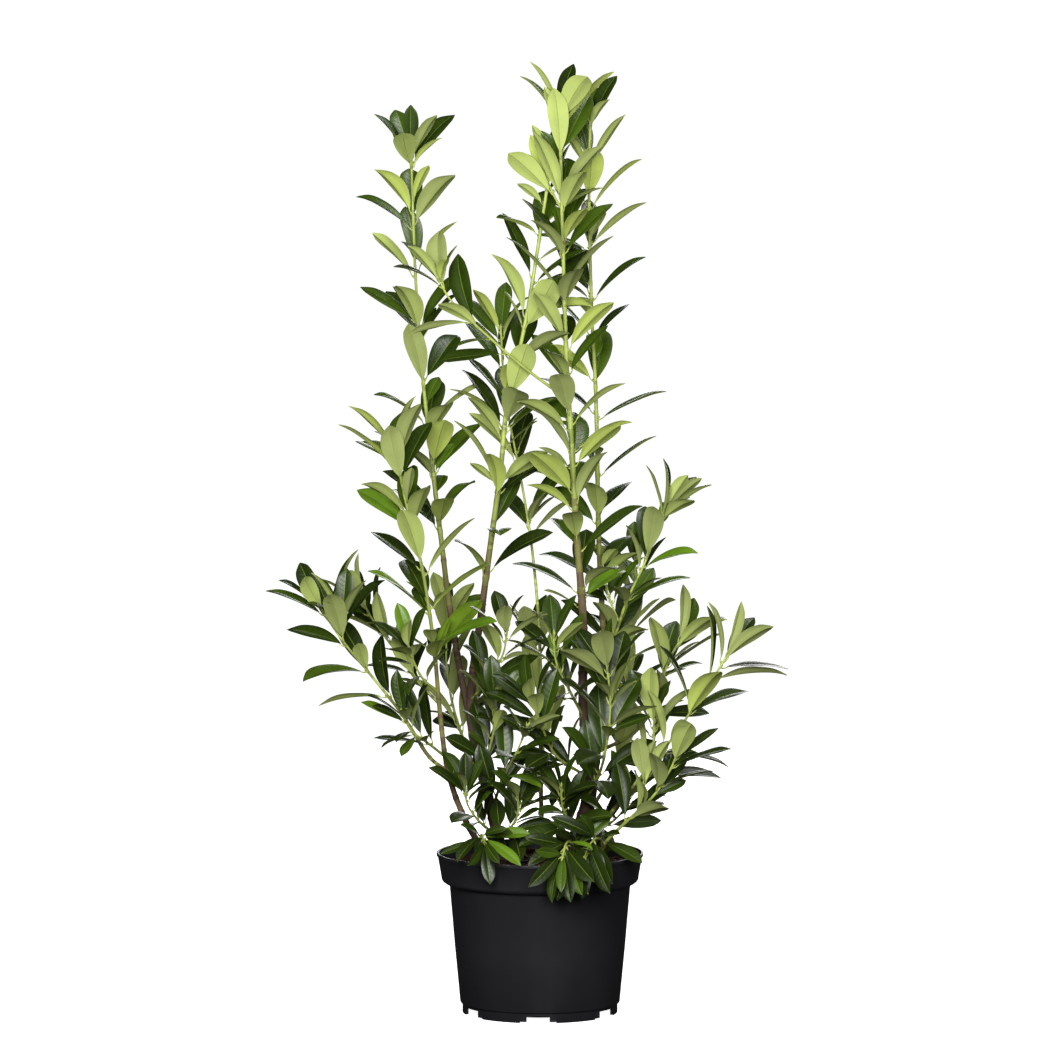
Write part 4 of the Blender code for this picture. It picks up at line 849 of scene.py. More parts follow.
@functools.cache
def grown():
    """The paths and the masses with their small late leaves, grown once for all the operators."""
    paths, masses = grow_plant()
    for mass in masses:
        mass.thicken(bpy.context.scene.laurel_leaves.fillers)
    for obj in list(collection_of("cutters").objects):
        remove(obj)
    return paths, masses


# ------------------------------------------------------------------ the pot's profiles
def outer_profile():
    """From the rim down the band, over the shoulder and down the body to the base ring."""
    shoulder = POT_HEIGHT - BAND_HEIGHT
    rim = POT_HEIGHT - RIM_BEAD
    rows = [(RIM_RADIUS - EDGE, POT_HEIGHT), (RIM_RADIUS, POT_HEIGHT - EDGE),
            (RIM_RADIUS, rim + EDGE / 2), (RIM_RADIUS - BEAD_STEP, rim - EDGE)]
    for k in (3, 2, 1):
        a = math.pi / 2 * k / 3
        rows.append((BODY_TOP_RADIUS + (BAND_FOOT_RADIUS - BODY_TOP_RADIUS) * math.sin(a),
                     shoulder - SHOULDER_DROP * math.cos(a)))
    return rows + [(BODY_TOP_RADIUS, shoulder - SHOULDER_DROP),
                   (BODY_FOOT_RADIUS, BASE_RING_HEIGHT + EDGE), (BASE_RING_RADIUS, BASE_RING_HEIGHT)]


def inner_profile(spare=0.0):
    """From the floor up to the rim, drawn in by the wall and by spare."""
    shoulder = POT_HEIGHT - BAND_HEIGHT
    ledge = shoulder - SHOULDER_DROP + spare
    w = WALL + spare
    return [(BODY_FOOT_RADIUS - w, FLOOR_UNDERSIDE + WALL + spare),
            (BODY_TOP_RADIUS - w, ledge + 0.6 * WALL),
            (BAND_FOOT_RADIUS - w - CORNER_CUT, ledge + 1.4 * WALL),
            (BAND_FOOT_RADIUS - w, shoulder + CORNER_CUT / 2),
            (RIM_RADIUS - BEAD_STEP - w, POT_HEIGHT - RIM_BEAD)]


def pot_guard():
    """A plain tub a little larger than the filled pot, which leaves keep out of."""
    rows = [(0, SOIL), (RIM_RADIUS - GUARD_INSET, SOIL), (RIM_RADIUS - GUARD_INSET, POT_HEIGHT + LEAF_ROOM),
            (RIM_RADIUS + LEAF_ROOM, POT_HEIGHT + LEAF_ROOM)]
    rows += [(r + LEAF_ROOM, z) for r, z in outer_profile()] + [(0, 0)]
    tub = helper(turned("pot_guard", rows, GUARD_STEPS))
    mesh = evaluated_mesh(tub)
    remove(tub)
    return shape_of(mesh)


# ------------------------------------------------------------------ settings a user would change
def colour(name, description, default):
    return FloatVectorProperty(name=name, description=description, subtype="COLOR", size=3,
                               min=0.0, max=1.0, default=default)


def length(name, description, default, low=0.0, high=1.0):
    return FloatProperty(name=name, description=description, default=default, min=low, max=high,
                         subtype="DISTANCE", unit="LENGTH")


def share(name, description, default):
    return FloatProperty(name=name, description=description, default=default, min=0.0, max=1.0,
                         subtype="FACTOR")


class LaurelPotSettings(bpy.types.PropertyGroup):
    """The nursery pot"""

    plastic: colour("Plastic", "Colour of the moulded pot", (0.0124, 0.0124, 0.0146))
    scuff: colour("Scuff", "Colour of the dry film and scuffs on the pot", (0.0192, 0.0192, 0.0216))
    edge: length("Edge radius", "Radius of the pot's moulded edges", 0.0011, 0.0002, 0.003)
    steps: IntProperty(name="Steps", description="Sides of the turned pot", default=160, min=24, max=512)


class LaurelCompostSettings(bpy.types.PropertyGroup):
    """The bed of composted bark"""

    crumb: colour("Crumb", "Colour of the fine compost", (0.0190, 0.0085, 0.0062))
    chip: colour("Chip", "Colour of the bark chips", (0.046, 0.0175, 0.0105))
    old_chip: colour("Old chip", "Colour of the weathered chips", (0.055, 0.0285, 0.0190))
    chips: IntProperty(name="Chips", description="Chips lying on the bed", default=520, min=0, max=3000)
    chip_size: length("Chip size", "Length of a usual chip", 0.0095, 0.001, 0.03)
    relief: length("Relief", "Height of the crumbs above the bed", 0.0024, 0.0, 0.01)


class LaurelStemSettings(bpy.types.PropertyGroup):
    """Trunks, boughs and green shoots"""

    old_bark: colour("Old bark", "Colour of the bark at the foot", (0.082, 0.050, 0.030))
    bark: colour("Bark", "Colour of the bark on the trunks", (0.150, 0.105, 0.052))
    olive: colour("Olive bark", "Colour where the bark turns green", (0.190, 0.180, 0.052))
    green: colour("Green shoot", "Colour of the older green shoots", (0.250, 0.300, 0.060))
    fresh: colour("Fresh shoot", "Colour of this year's shoots", (0.380, 0.460, 0.095))
    relief: length("Relief", "Depth of the bark's furrows", 0.00035, 0.0, 0.002)
    ring: length("Ring spacing", "Distance between the mesh rings of a trunk", 0.0032, 0.001, 0.02)


class LaurelLeafSettings(bpy.types.PropertyGroup):
    """Leaves and buds"""

    deep: colour("Deep", "Darkest upper side", (0.0110, 0.0205, 0.0014))
    dark: colour("Dark", "Usual upper side", (0.0190, 0.0370, 0.0020))
    mid: colour("Mid", "Lighter upper side", (0.0400, 0.0760, 0.0036))
    fresh: colour("Fresh", "Upper side of a young leaf", (0.0800, 0.1550, 0.0070))
    bright: colour("Bright", "Upper side of the newest leaves", (0.0980, 0.1650, 0.0100))
    # The grey underside goes mostly with deep uppers low down. It is partly an old leaf's colour and partly
    # painted shade.
    under_grey: colour("Grey underside", "Underside of an old leaf", (0.285, 0.335, 0.108))
    under_pale: colour("Pale underside", "Usual underside", (0.375, 0.450, 0.125))
    under_fresh: colour("Fresh underside", "Underside of a young leaf", (0.420, 0.510, 0.110))
    rib: colour("Rib", "Midrib on the upper side", (0.120, 0.190, 0.022))
    rib_under: colour("Rib below", "Midrib on the underside", (0.245, 0.310, 0.070))
    stalk: colour("Stalk", "Leaf stalks", (0.380, 0.440, 0.110))
    stalk_length: length("Stalk", "Length of the leaf stalk", 0.0085, 0.002, 0.03)
    thickness: length("Thickness", "Thickness of the blade", 0.00055, 0.0002, 0.002)
    fillers: IntProperty(name="Small leaves", description="Small leaves added to each mass", default=4,
                         min=0, max=12)


class LaurelStageSettings(bpy.types.PropertyGroup):
    """Floor, light and camera"""

    floor: colour("Floor", "Colour of the floor", (0.93, 0.93, 0.93))
    key: FloatProperty(name="Key light", description="Power of the large light in front", default=98,
                       min=0, subtype="POWER", unit="POWER")
    fill: FloatProperty(name="Sky light", description="Strength of the light from all round",
                        default=0.08, min=0, max=10)
    distance: length("Camera distance", "How far in front of the pot the camera stands", 10.0, 1, 50)
    height: length("Camera height", "Height of the camera above the floor", 1.58, 0, 10)
    tilt: FloatProperty(name="Camera tilt", description="How far the camera looks down",
                        default=math.radians(5.244), subtype="ANGLE", unit="ROTATION")
    lens: FloatProperty(name="Lens", description="Focal length", default=255.5, min=10, max=600,
                        unit="CAMERA")


# ------------------------------------------------------------------ shader node groups
class Tree:
    """Lays out and links the nodes of one material or group."""

    def __init__(self, tree):
        self.tree, self.count = tree, 0

    def node(self, kind, values=(), **inputs):
        """Adds a node, sets what it is told, and links or sets its inputs."""
        made = self.tree.nodes.new(kind)
        made.location = (220 * (self.count % 8), -260 * (self.count // 8))
        self.count += 1
        for name, value in dict(values).items():
            setattr(made, name, value)
        for name, value in inputs.items():
            self.feed(made.inputs[name.replace("_", " ")], value)
        return made

    def feed(self, socket, value):
        if isinstance(value, bpy.types.NodeSocket):
            self.tree.links.new(value, socket)
        elif socket.type == "RGBA":
            socket.default_value = (*value, 1)
        else:
            socket.default_value = value

    def maths(self, operation, a, b=0.0):
        made = self.node("ShaderNodeMath", {"operation": operation})
        self.feed(made.inputs[0], a)
        self.feed(made.inputs[1], b)
        return made.outputs[0]

    def spread(self, value, low, high, out_low=0.0, out_high=1.0):
        """Maps a value from one range to another, and holds it inside."""
        return self.node("ShaderNodeMapRange", Value=value, From_Min=low, From_Max=high, To_Min=out_low,
                         To_Max=out_high).outputs["Result"]

    def blend(self, factor, a, b):
        made = self.node("ShaderNodeMix", {"data_type": "RGBA"})
        for socket, value in zip((made.inputs[0], made.inputs[6], made.inputs[7]), (factor, a, b)):
            self.feed(socket, value)
        return made.outputs[2]

    def noise(self, where, scale, detail=3.0):
        return self.node("ShaderNodeTexNoise", Vector=where, Scale=scale, Detail=detail).outputs[0]

    def stretched(self, scale):
        """Object coordinates, drawn out by a scale for each axis."""
        where = self.node("ShaderNodeTexCoord").outputs["Object"]
        return self.node("ShaderNodeMapping", Vector=where, Scale=scale).outputs[0]


def node_group(name, inputs, outputs, lay_out):
    """Builds a shader node group with named sockets."""
    group = bpy.data.node_groups.new(name, "ShaderNodeTree")
    for label, (kind, default) in inputs.items():
        socket = group.interface.new_socket(name=label, in_out="INPUT", socket_type="NodeSocket" + kind)
        socket.default_value = (*default, 1) if kind == "Color" else default
    for label, kind in outputs.items():
        group.interface.new_socket(name=label, in_out="OUTPUT", socket_type="NodeSocket" + kind)
    tree = Tree(group)
    given, result = tree.node("NodeGroupInput").outputs, tree.node("NodeGroupOutput").inputs
    for label, value in lay_out(tree, given).items():
        tree.feed(result[label], value)
    return group


def lay_out_mottle(tree, given):
    """Soft clouds of a second colour, and a fine grain."""
    where = tree.stretched((1, 1, 1))
    cloud = tree.noise(where, given["Scale"], 4.0)
    mask = tree.maths("MULTIPLY", tree.spread(cloud, 0.38, 0.64), given["Amount"])
    grain = tree.noise(where, tree.maths("MULTIPLY", given["Scale"], 12.0))
    return {"Colour": tree.blend(mask, given["Colour"], given["Other"]), "Height": grain}


def lay_out_veins(tree, given):
    """Side veins that leave the rib and sweep forward, from the leaf's own length and width."""
    leaf = tree.node("ShaderNodeUVMap", {"uv_map": "leaf"}).outputs[0]
    place = tree.node("ShaderNodeSeparateXYZ", Vector=leaf)
    across = tree.maths("ABSOLUTE", tree.maths("SUBTRACT", place.outputs["Y"], 0.5))
    sweep = tree.maths("MULTIPLY", tree.maths("POWER", across, 1.35), 0.28)
    step = tree.maths("MULTIPLY", tree.maths("SUBTRACT", place.outputs["X"], sweep), given["Pairs"])
    ridge = tree.maths("ABSOLUTE", tree.maths("SUBTRACT", tree.maths("FRACT", step), 0.5))
    fade = tree.spread(across, 0.30, 0.47, 1.0, 0.0)
    vein = tree.maths("MULTIPLY", tree.spread(ridge, 0.41, 0.497), fade)
    pores = tree.maths("MULTIPLY", tree.noise(tree.stretched((1, 1, 1)), 700.0), 0.3)
    tint = tree.maths("MULTIPLY", vein, given["Strength"])
    return {"Colour": tree.blend(tint, given["Blade"], given["Vein"]),
            "Height": tree.maths("ADD", pores, tree.maths("MULTIPLY", vein, given["Relief"]))}


def lay_out_bark(tree, given):
    """Long furrows, paler breathing pores and a dusty grain."""
    long = tree.noise(tree.stretched((1, 1, 0.16)), 420.0, 5.0)
    patch = tree.noise(tree.stretched((1, 1, 0.4)), 60.0, 4.0)
    pores = tree.node("ShaderNodeTexVoronoi", Vector=tree.stretched((1, 1, 2.4)), Scale=150.0).outputs[0]
    pore = tree.spread(pores, 0.20, 0.10)
    shade = tree.blend(tree.spread(patch, 0.35, 0.68), given["Colour"], given["Furrow"])
    return {"Colour": tree.blend(tree.maths("MULTIPLY", pore, 0.4), shade, given["Pore"]),
            "Height": tree.maths("ADD", long, tree.maths("MULTIPLY", pore, 0.5)),
            "Roughness": tree.spread(long, 0.3, 0.7, 0.62, 0.88)}


def lay_out_moulding(tree, given):
    """Moulded plastic: a fine orange-peel grain, a dry film that gathers low down and faint rubs."""
    peel = tree.noise(tree.stretched((1, 1, 1)), 900.0)
    film = tree.noise(tree.stretched((1, 1, 0.5)), 16.0, 5.0)
    rub = tree.noise(tree.stretched((0.35, 0.35, 6.0)), 90.0, 4.0)
    low = tree.spread(tree.node("ShaderNodeSeparateXYZ", Vector=tree.stretched((1, 1, 1))).outputs["Z"],
                      0.0, 0.07, 0.55, 0.14)
    mask = tree.maths("MULTIPLY", tree.spread(film, 0.42, 0.74), low)
    mask = tree.maths("MAXIMUM", mask, tree.maths("MULTIPLY", tree.spread(rub, 0.66, 0.78), 0.30))
    mask = tree.maths("MULTIPLY", mask, given["Wear"])
    return {"Colour": tree.blend(mask, given["Colour"], given["Film"]),
            "Roughness": tree.spread(tree.maths("ADD", film, mask), 0.3, 1.1, 0.36, 0.56), "Height": peel}


GROUPS = {
    "Mottle": ({"Colour": ("Color", (0.1, 0.1, 0.1)), "Other": ("Color", (0.2, 0.2, 0.2)),
                "Scale": ("Float", 30.0), "Amount": ("Float", 0.5)},
               {"Colour": "Color", "Height": "Float"}, lay_out_mottle),
    "Leaf veins": ({"Blade": ("Color", (0.02, 0.06, 0.01)), "Vein": ("Color", (0.1, 0.2, 0.05)),
                    "Strength": ("Float", 0.2), "Relief": ("Float", -1.0), "Pairs": ("Float", 10.0)},
                   {"Colour": "Color", "Height": "Float"}, lay_out_veins),
    "Bark": ({"Colour": ("Color", (0.1, 0.07, 0.04)), "Furrow": ("Color", (0.05, 0.03, 0.02)),
              "Pore": ("Color", (0.3, 0.24, 0.16))},
             {"Colour": "Color", "Height": "Float", "Roughness": "Float"}, lay_out_bark),
    "Moulding": ({"Colour": ("Color", (0.01, 0.01, 0.01)), "Film": ("Color", (0.03, 0.03, 0.03)),
                  "Wear": ("Float", 1.0)},
                 {"Colour": "Color", "Roughness": "Float", "Height": "Float"}, lay_out_moulding),
}


def group_named(name):
    """One of GROUPS, built the first time that it is asked for."""
    return bpy.data.node_groups.get(name) or node_group(name, *GROUPS[name])


# ------------------------------------------------------------------ materials
def finish(name, lay_out, roughness, bump=0.0, bump_distance=0.001, coat=0.0, specular=0.5):
    """A Principled material. lay_out(tree) gives its Base Color, and may give Roughness and Height."""
    found = bpy.data.materials.get(name)
    if found:
        return found
    made = bpy.data.materials.new(name)
    made.use_nodes = True
    tree = Tree(made.node_tree)
    shader = made.node_tree.nodes["Principled BSDF"]
    shader.inputs["Roughness"].default_value = roughness
    shader.inputs["Specular IOR Level"].default_value = specular
    shader.inputs["Coat Weight"].default_value = coat
    shader.inputs["Coat Roughness"].default_value = 0.20
    looks = lay_out(tree)
    tree.feed(shader.inputs["Base Color"], looks["Colour"])
    if "Roughness" in looks:
        tree.feed(shader.inputs["Roughness"], looks["Roughness"])
    if bump:
        relief = tree.node("ShaderNodeBump", Strength=bump, Distance=bump_distance, Height=looks["Height"])
        tree.feed(shader.inputs["Normal"], relief.outputs[0])
    return made


def use(tree, name, **inputs):
    """Places a shared group in a material with its own values."""
    made = tree.node("ShaderNodeGroup", {"node_tree": group_named(name)}, **inputs)
    return {socket.name: socket for socket in made.outputs}


def darker(tint, by):
    """The colour times a number, which may also make it lighter."""
    return tuple(c * by for c in tint)


def blade_finish(name, tint, vein, glossy):
    """A leaf's side: cloudy green between its veins, waxy above and matt below."""
    def lay_out(tree):
        cloud = use(tree, "Mottle", Colour=tint, Other=darker(tint, 1.45 if glossy else 1.16), Scale=26.0,
                    Amount=0.7)
        return use(tree, "Leaf veins", Blade=cloud["Colour"], Vein=vein, Strength=0.10,
                   Relief=-1.0 if glossy else 0.8, Pairs=10.0)
    if glossy:
        return finish(name, lay_out, 0.38, 0.30, 0.0006, coat=0.06, specular=0.34)
    return finish(name, lay_out, 0.66, 0.30, 0.0006, specular=0.18)


def plain_finish(name, tint, other, scale, roughness, bump=0.2, specular=0.4):
    return finish(name, lambda tree: use(tree, "Mottle", Colour=tint, Other=other, Scale=scale, Amount=0.8),
                  roughness, bump, 0.0005, specular=specular)


def bark_finish(name, tint):
    return finish(name, lambda tree: use(tree, "Bark", Colour=tint, Furrow=darker(tint, 0.50),
                                         Pore=darker(tint, 1.9)), 0.75, 0.55, 0.0007, specular=0.3)


def give(obj, materials):
    obj.data.materials.clear()
    for material in materials:
        obj.data.materials.append(material)


# ------------------------------------------------------------------ meshes from arrays
class Gather:
    """Points, faces, slots and leaf coordinates of many small shapes, joined into one mesh."""

    def __init__(self):
        self.points, self.faces, self.slots, self.places, self.total = [], [], [], [], 0

    def add(self, points, faces, slots, places=None):
        """Faces are rows of four corners; a triangle repeats its last one."""
        faces = np.asarray(faces)
        self.points.append(np.asarray(points, float))
        self.faces.append(faces + self.total)
        self.slots.append(np.broadcast_to(np.asarray(slots), (len(faces),)))
        self.places.append(np.zeros((len(points), 2)) if places is None else np.asarray(places))
        self.total += len(points)

    def build(self, name, materials):
        points, faces = np.vstack(self.points), np.vstack(self.faces)
        three = faces[:, 3] == faces[:, 2]
        count = np.where(three, 3, 4)
        corners = faces[np.arange(4)[None, :] < count[:, None]]
        mesh = bpy.data.meshes.new(name)
        for material in materials:
            mesh.materials.append(material)
        mesh.vertices.add(len(points))
        mesh.vertices.foreach_set("co", points.astype(np.float32).ravel())
        mesh.loops.add(len(corners))
        mesh.loops.foreach_set("vertex_index", corners.astype(np.int32))
        mesh.polygons.add(len(faces))
        starts = np.concatenate([[0], np.cumsum(count)[:-1]])
        mesh.polygons.foreach_set("loop_start", starts.astype(np.int32))
        mesh.polygons.foreach_set("material_index", np.concatenate(self.slots).astype(np.int32))
        layer = mesh.uv_layers.new(name="leaf")
        layer.data.foreach_set("uv", np.vstack(self.places)[corners].astype(np.float32).ravel())
        mesh.update(calc_edges=True)
        mesh.validate()
        mesh.shade_smooth()
        mesh.set_sharp_from_angle(angle=SHARP)
        obj = bpy.data.objects.new(name, mesh)
        bpy.context.scene.collection.objects.link(obj)
        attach(obj, "root")
        return obj


def tube_faces(rings, sides):
    """Quads round a tube of rings, with its flat ends as fans of triangles."""
    r, k = np.meshgrid(np.arange(rings - 1), np.arange(sides), indexing="ij")
    a, b = (r * sides + k).ravel(), (r * sides + (k + 1) % sides).ravel()
    fan, top = np.arange(1, sides - 1), (rings - 1) * sides
    return np.vstack([np.stack([a, b, b + sides, a + sides], 1),
                      np.stack([np.zeros_like(fan), fan + 1, fan, fan], 1),
                      np.stack([np.full_like(fan, top), top + fan, top + fan + 1, top + fan + 1], 1)])


# ------------------------------------------------------------------ the pot
def arc(middle, radius, start, end, count):
    """Points of (radius, height) along a round corner."""
    return [(middle[0] + radius * math.cos(a), middle[1] + radius * math.sin(a))
            for a in np.radians(np.linspace(start, end, count))]


def moulded_profile(edge):
    """The pot's outline with its bead, its band, its rolled shoulder and round moulded edges."""
    shoulder, rim = POT_HEIGHT - BAND_HEIGHT, POT_HEIGHT - RIM_BEAD
    drop, roll = shoulder - SHOULDER_DROP, BAND_FOOT_RADIUS - BODY_TOP_RADIUS
    inside = [(0, FLOOR_UNDERSIDE + WALL)] + inner_profile()
    lip = arc((RIM_RADIUS - WALL, POT_HEIGHT - LIP_RADIUS), LIP_RADIUS, 180, 90, 4)
    bead = arc((RIM_RADIUS - edge, POT_HEIGHT - edge), edge, 90, 0, 6)
    bead += arc((RIM_RADIUS - edge, rim + 0.5 * edge), edge, 0, -70, 5)
    band = [(RIM_RADIUS - BEAD_FOOT, rim - BEAD_ROLL), (BAND_FOOT_RADIUS + BAND_DRAFT, shoulder + 0.002)]
    band += [(BODY_TOP_RADIUS + roll * math.cos(a), shoulder - (shoulder - drop) * math.sin(a))
             for a in np.radians(np.linspace(*ROLL_TURN, 14))]
    high, step, low, sunk = (BASE_RING_HEIGHT + rise for rise in RING_STEP)
    body = [(BODY_TOP_RADIUS - BODY_DRAFT, drop - 0.002), ((BODY_TOP_RADIUS + BODY_FOOT_RADIUS) / 2, 0.09),
            (BODY_FOOT_RADIUS + BODY_DRAFT, high), (BODY_FOOT_RADIUS - RING_ROUND, step),
            (BASE_RING_RADIUS + RING_ROUND, low), (BASE_RING_RADIUS, sunk)]
    foot = [(BASE_RING_RADIUS, LIP_RADIUS), (BASE_RING_RADIUS - RING_ROUND, 0),
            (BASE_RING_RADIUS - WALL, 0)]
    under = [(BASE_RING_RADIUS - WALL, FLOOR_UNDERSIDE), (HUB_RADIUS + HUB_DRAFT, FLOOR_UNDERSIDE),
             (HUB_RADIUS + BAND_DRAFT, RING_ROUND), (HUB_RADIUS - RING_ROUND, 0), (0, 0)]
    return inside + lip + bead + band + body + foot + under


def block_cutter(low, high, turn):
    """A block between two corners, turned about the pot's axis."""
    mesh = bpy.data.meshes.new("block")
    work = bmesh.new()
    bmesh.ops.create_cube(work, size=1)
    low, high = Vector(low), Vector(high)
    for v in work.verts:
        v.co = Vector(low[k] + (high[k] - low[k]) * (v.co[k] + 0.5) for k in range(3))
    work.to_mesh(mesh)
    work.free()
    mesh.transform(Matrix.Rotation(turn, 4, "Z"))
    return helper(bpy.data.objects.new("block", mesh))


def round_cutter(radius, depth, place, turn):
    mesh = bpy.data.meshes.new("drill")
    work = bmesh.new()
    bmesh.ops.create_cone(work, cap_ends=True, segments=32, radius1=radius, radius2=radius, depth=depth)
    work.to_mesh(mesh)
    work.free()
    mesh.transform(Matrix.Rotation(turn, 4, "Z") @ Matrix.Translation(place))
    return helper(bpy.data.objects.new("drill", mesh))


def cut_feet(pot):
    """Six notches under the base ring, a low step beside each, and the drain holes."""
    tools, half = [], NOTCH_WIDTH / 2
    drain = (DRAIN_RING, 0, FLOOR_UNDERSIDE + WALL / 2)
    for k in range(NOTCHES):
        turn = math.radians(-90 + NOTCH_TURN + 360 / NOTCHES * k)
        blocks = [(-half, half, NOTCH_HEIGHT)]
        for side in (-1, 1):
            near, far = side * (half - FOOT_LAP), side * (half + FOOT_STEP)
            blocks.append((min(near, far), max(near, far), FOOT_LIFT))
        tools += [block_cutter((NOTCH_IN, left, -CUT_PAST), (NOTCH_OUT, right, top), turn)
                  for left, right, top in blocks]
        tools.append(round_cutter(DRAIN_RADIUS, DRAIN_DEPTH, drain, turn))
    group = bpy.data.collections.new("pot_cutters")
    bpy.context.scene.collection.children.link(group)
    for tool in tools:
        group.objects.link(tool)
    cut = pot.modifiers.new("cut", "BOOLEAN")
    cut.operand_type, cut.collection = "COLLECTION", group
    made = evaluated_mesh(pot)
    pot.modifiers.clear()
    pot.data = made
    for tool in tools:
        remove(tool)
    bpy.data.collections.remove(group)


def make_pot(settings):
    pot = turned("pot_shell", moulded_profile(settings.edge), settings.steps)
    bpy.context.scene.collection.objects.link(pot)
    cut_feet(pot)
    pot.data.shade_smooth()
    pot.data.set_sharp_from_angle(angle=SHARP)
    tints = {"Colour": tuple(settings.plastic), "Film": tuple(settings.scuff)}
    give(pot, [finish("moulded_plastic", lambda tree: use(tree, "Moulding", Wear=1.0, **tints), 0.46, 0.10,
                      0.0004, specular=0.22)])
    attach(pot, "root")
    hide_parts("pot")


# ------------------------------------------------------------------ the compost
def bed_height(x, y, relief):
    """The compost's top at a place: flat in the middle, a little lower at the wall, crumbly all over."""
    fall = BED_FALL * max(0.0, (math.hypot(x, y) - BED_MIDDLE) / BED_SIDE) ** 2
    bumps = noise.fractal(Vector((x, y, 0)) * 120, 0.9, 2.1, 4) * 0.5
    swell = noise.noise(Vector((x, y, 3)) * 22)
    return SOIL - fall - relief * (0.75 - 0.5 * bumps - 0.4 * swell)


def make_bed(settings):
    """A closed body of compost inside the pot, with a crumbly top."""
    side = inner_profile(CLEAR)
    (r0, z0), (r1, z1) = side[-1], side[-2]
    rim = r1 + (r0 - r1) * (SOIL - BED_EDGE_DROP - z1) / (z0 - z1) - BED_LIP_GAP
    points = [((r - BED_WALL_GAP) * x, (r - BED_WALL_GAP) * y, z) for r, z in side[:-1]
              for x, y in circle(BED_STEPS)]
    for i in range(BED_RINGS):
        r = rim * (1 - i / (BED_RINGS - 1) * BED_CLOSE)
        for x, y in circle(BED_STEPS, 0.5 * (i % 2)):
            z = bed_height(r * x, r * y, settings.relief) if i else SOIL - BED_LIP
            points.append((r * x, r * y, z))
    gather = Gather()
    gather.add(points, tube_faces(len(points) // BED_STEPS, BED_STEPS), 0)
    crumb = plain_finish("compost_crumb", tuple(settings.crumb), darker(tuple(settings.chip), 0.7), 130.0,
                         0.95, 1.0, specular=0.05)
    bed = gather.build("compost_bed", [crumb])
    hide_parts("compost")


def chip_shape():
    """Points and faces of a round stone, which each chip squashes and breaks in its own way."""
    work = bmesh.new()
    bmesh.ops.create_icosphere(work, subdivisions=1, radius=1)
    points = np.array([v.co[:] for v in work.verts])
    faces = np.array([[v.index for v in f.verts] + [f.verts[2].index] for f in work.faces])
    work.free()
    return points, faces


def scatter_chips(settings, feet):
    """Bark chips and slivers over the bed, half sunk, kept off the stems' feet."""
    ball, faces = chip_shape()
    rng = np.random.default_rng(11)
    gather = Gather()
    while len(gather.points) < settings.chips:
        away, a = CHIP_FIELD * math.sqrt(rng.uniform()), rng.uniform(0, 2 * math.pi)
        x, y = away * math.cos(a), away * math.sin(a)
        size = settings.chip_size * rng.lognormal(0, CHIP_SPREAD)
        off = min(math.hypot(x - fx, y - fy) for fx, fy in feet)
        if size > CHIP_LONGEST or off < CHIP_OFF_STEM + 0.4 * size or away + 0.6 * size > CHIP_WALL:
            continue
        shape = ball * (1 + CHIP_ROUGH * rng.normal(size=(len(ball), 1)))
        shape = shape * np.array([0.5, rng.uniform(*CHIP_WIDTH), rng.uniform(*CHIP_DEPTH)]) * size
        turn = Matrix.Rotation(rng.uniform(0, 2 * math.pi), 3, "Z")
        turn = turn @ Matrix.Rotation(rng.normal(0, CHIP_TILT), 3, "Y")
        shape = shape @ np.array(turn).T
        lift = bed_height(x, y, settings.relief) + CHIP_RISE * float(np.ptp(shape[:, 2]))
        shape += np.array([x, y, min(lift, POT_HEIGHT - RIM_BEAD)])
        gather.add(shape, faces, int(rng.choice(3, p=CHIP_MIX)))
    chip = tuple(settings.chip)
    finishes = [plain_finish("bark_chip_%d" % k, tint, darker(tint, 0.5), 160.0, 0.85, 0.8, specular=0.06)
                for k, tint in enumerate((chip, darker(chip, 0.5), tuple(settings.old_chip)))]
    chips = gather.build("bark_chips", finishes)


# ------------------------------------------------------------------ stems
def woody_slot(point, radius, rng):
    """Which of the five stem colours a ring takes: brown where it is thick and low, green above."""
    thick = min(max((radius - STEM_GREEN) / (STEM_BROWN - STEM_GREEN), 0), 1)
    low = min(max((GREEN_ABOVE - point[2]) / (GREEN_ABOVE - BROWN_BELOW), 0), 1)
    return int(round(min(max(4 * (1 - thick * low) + rng.normal(0, SLOT_STRAY), 0), 4)))


def stem_surface(gather, path, start, end, radius, sides, gap, relief, seed, flare=0.0, knots=()):
    """Adds a stem with furrows along it, swellings at its knots and a colour for each ring."""
    count = max(3, int((end - start) / gap) + 1)
    rng = np.random.default_rng((seed, 5))
    rows, slots = [], []
    for i, s in enumerate(np.linspace(start, end, count)):
        t = np.array([0.0, 0.0, 1.0]) if flare and i == 0 else path.along(s)
        u = square_to(path.pick(path.side, s), t)
        v = np.cross(t, u)
        r = radius(s) + flare * math.exp(-(s - start) / FLARE_FADE)
        swell = sum(math.exp(-((s - knot) / KNOT_LENGTH) ** 2) for knot in knots)
        r *= 1 + KNOT_SWELL * min(swell, 1)
        middle = path.at(s)
        for x, y in circle(sides):
            furrow = sum(part * noise.noise(Vector((across * x, across * y, along * s + 7 * seed)))
                         for across, along, part in FURROWS)
            rows.append(middle + (x * u + y * v) * (r + relief * min(1, r / FULL_RELIEF) * furrow))
        slots.append(woody_slot(middle, r, rng))
    ends = [np.zeros(sides - 2, int), np.full(sides - 2, count - 1)]
    ring = np.concatenate([np.repeat(np.arange(count - 1), sides)] + ends)
    gather.add(rows, tube_faces(count, sides), np.array(slots)[ring])


def knot_marks(start, end, seed):
    """Where old leaf scars and joints swell a bare stem."""
    rng = np.random.default_rng((seed, 9))
    marks, s = [], start + KNOTS_FROM
    while s < end:
        marks.append(s)
        s += rng.uniform(*KNOT_GAP)
    return marks


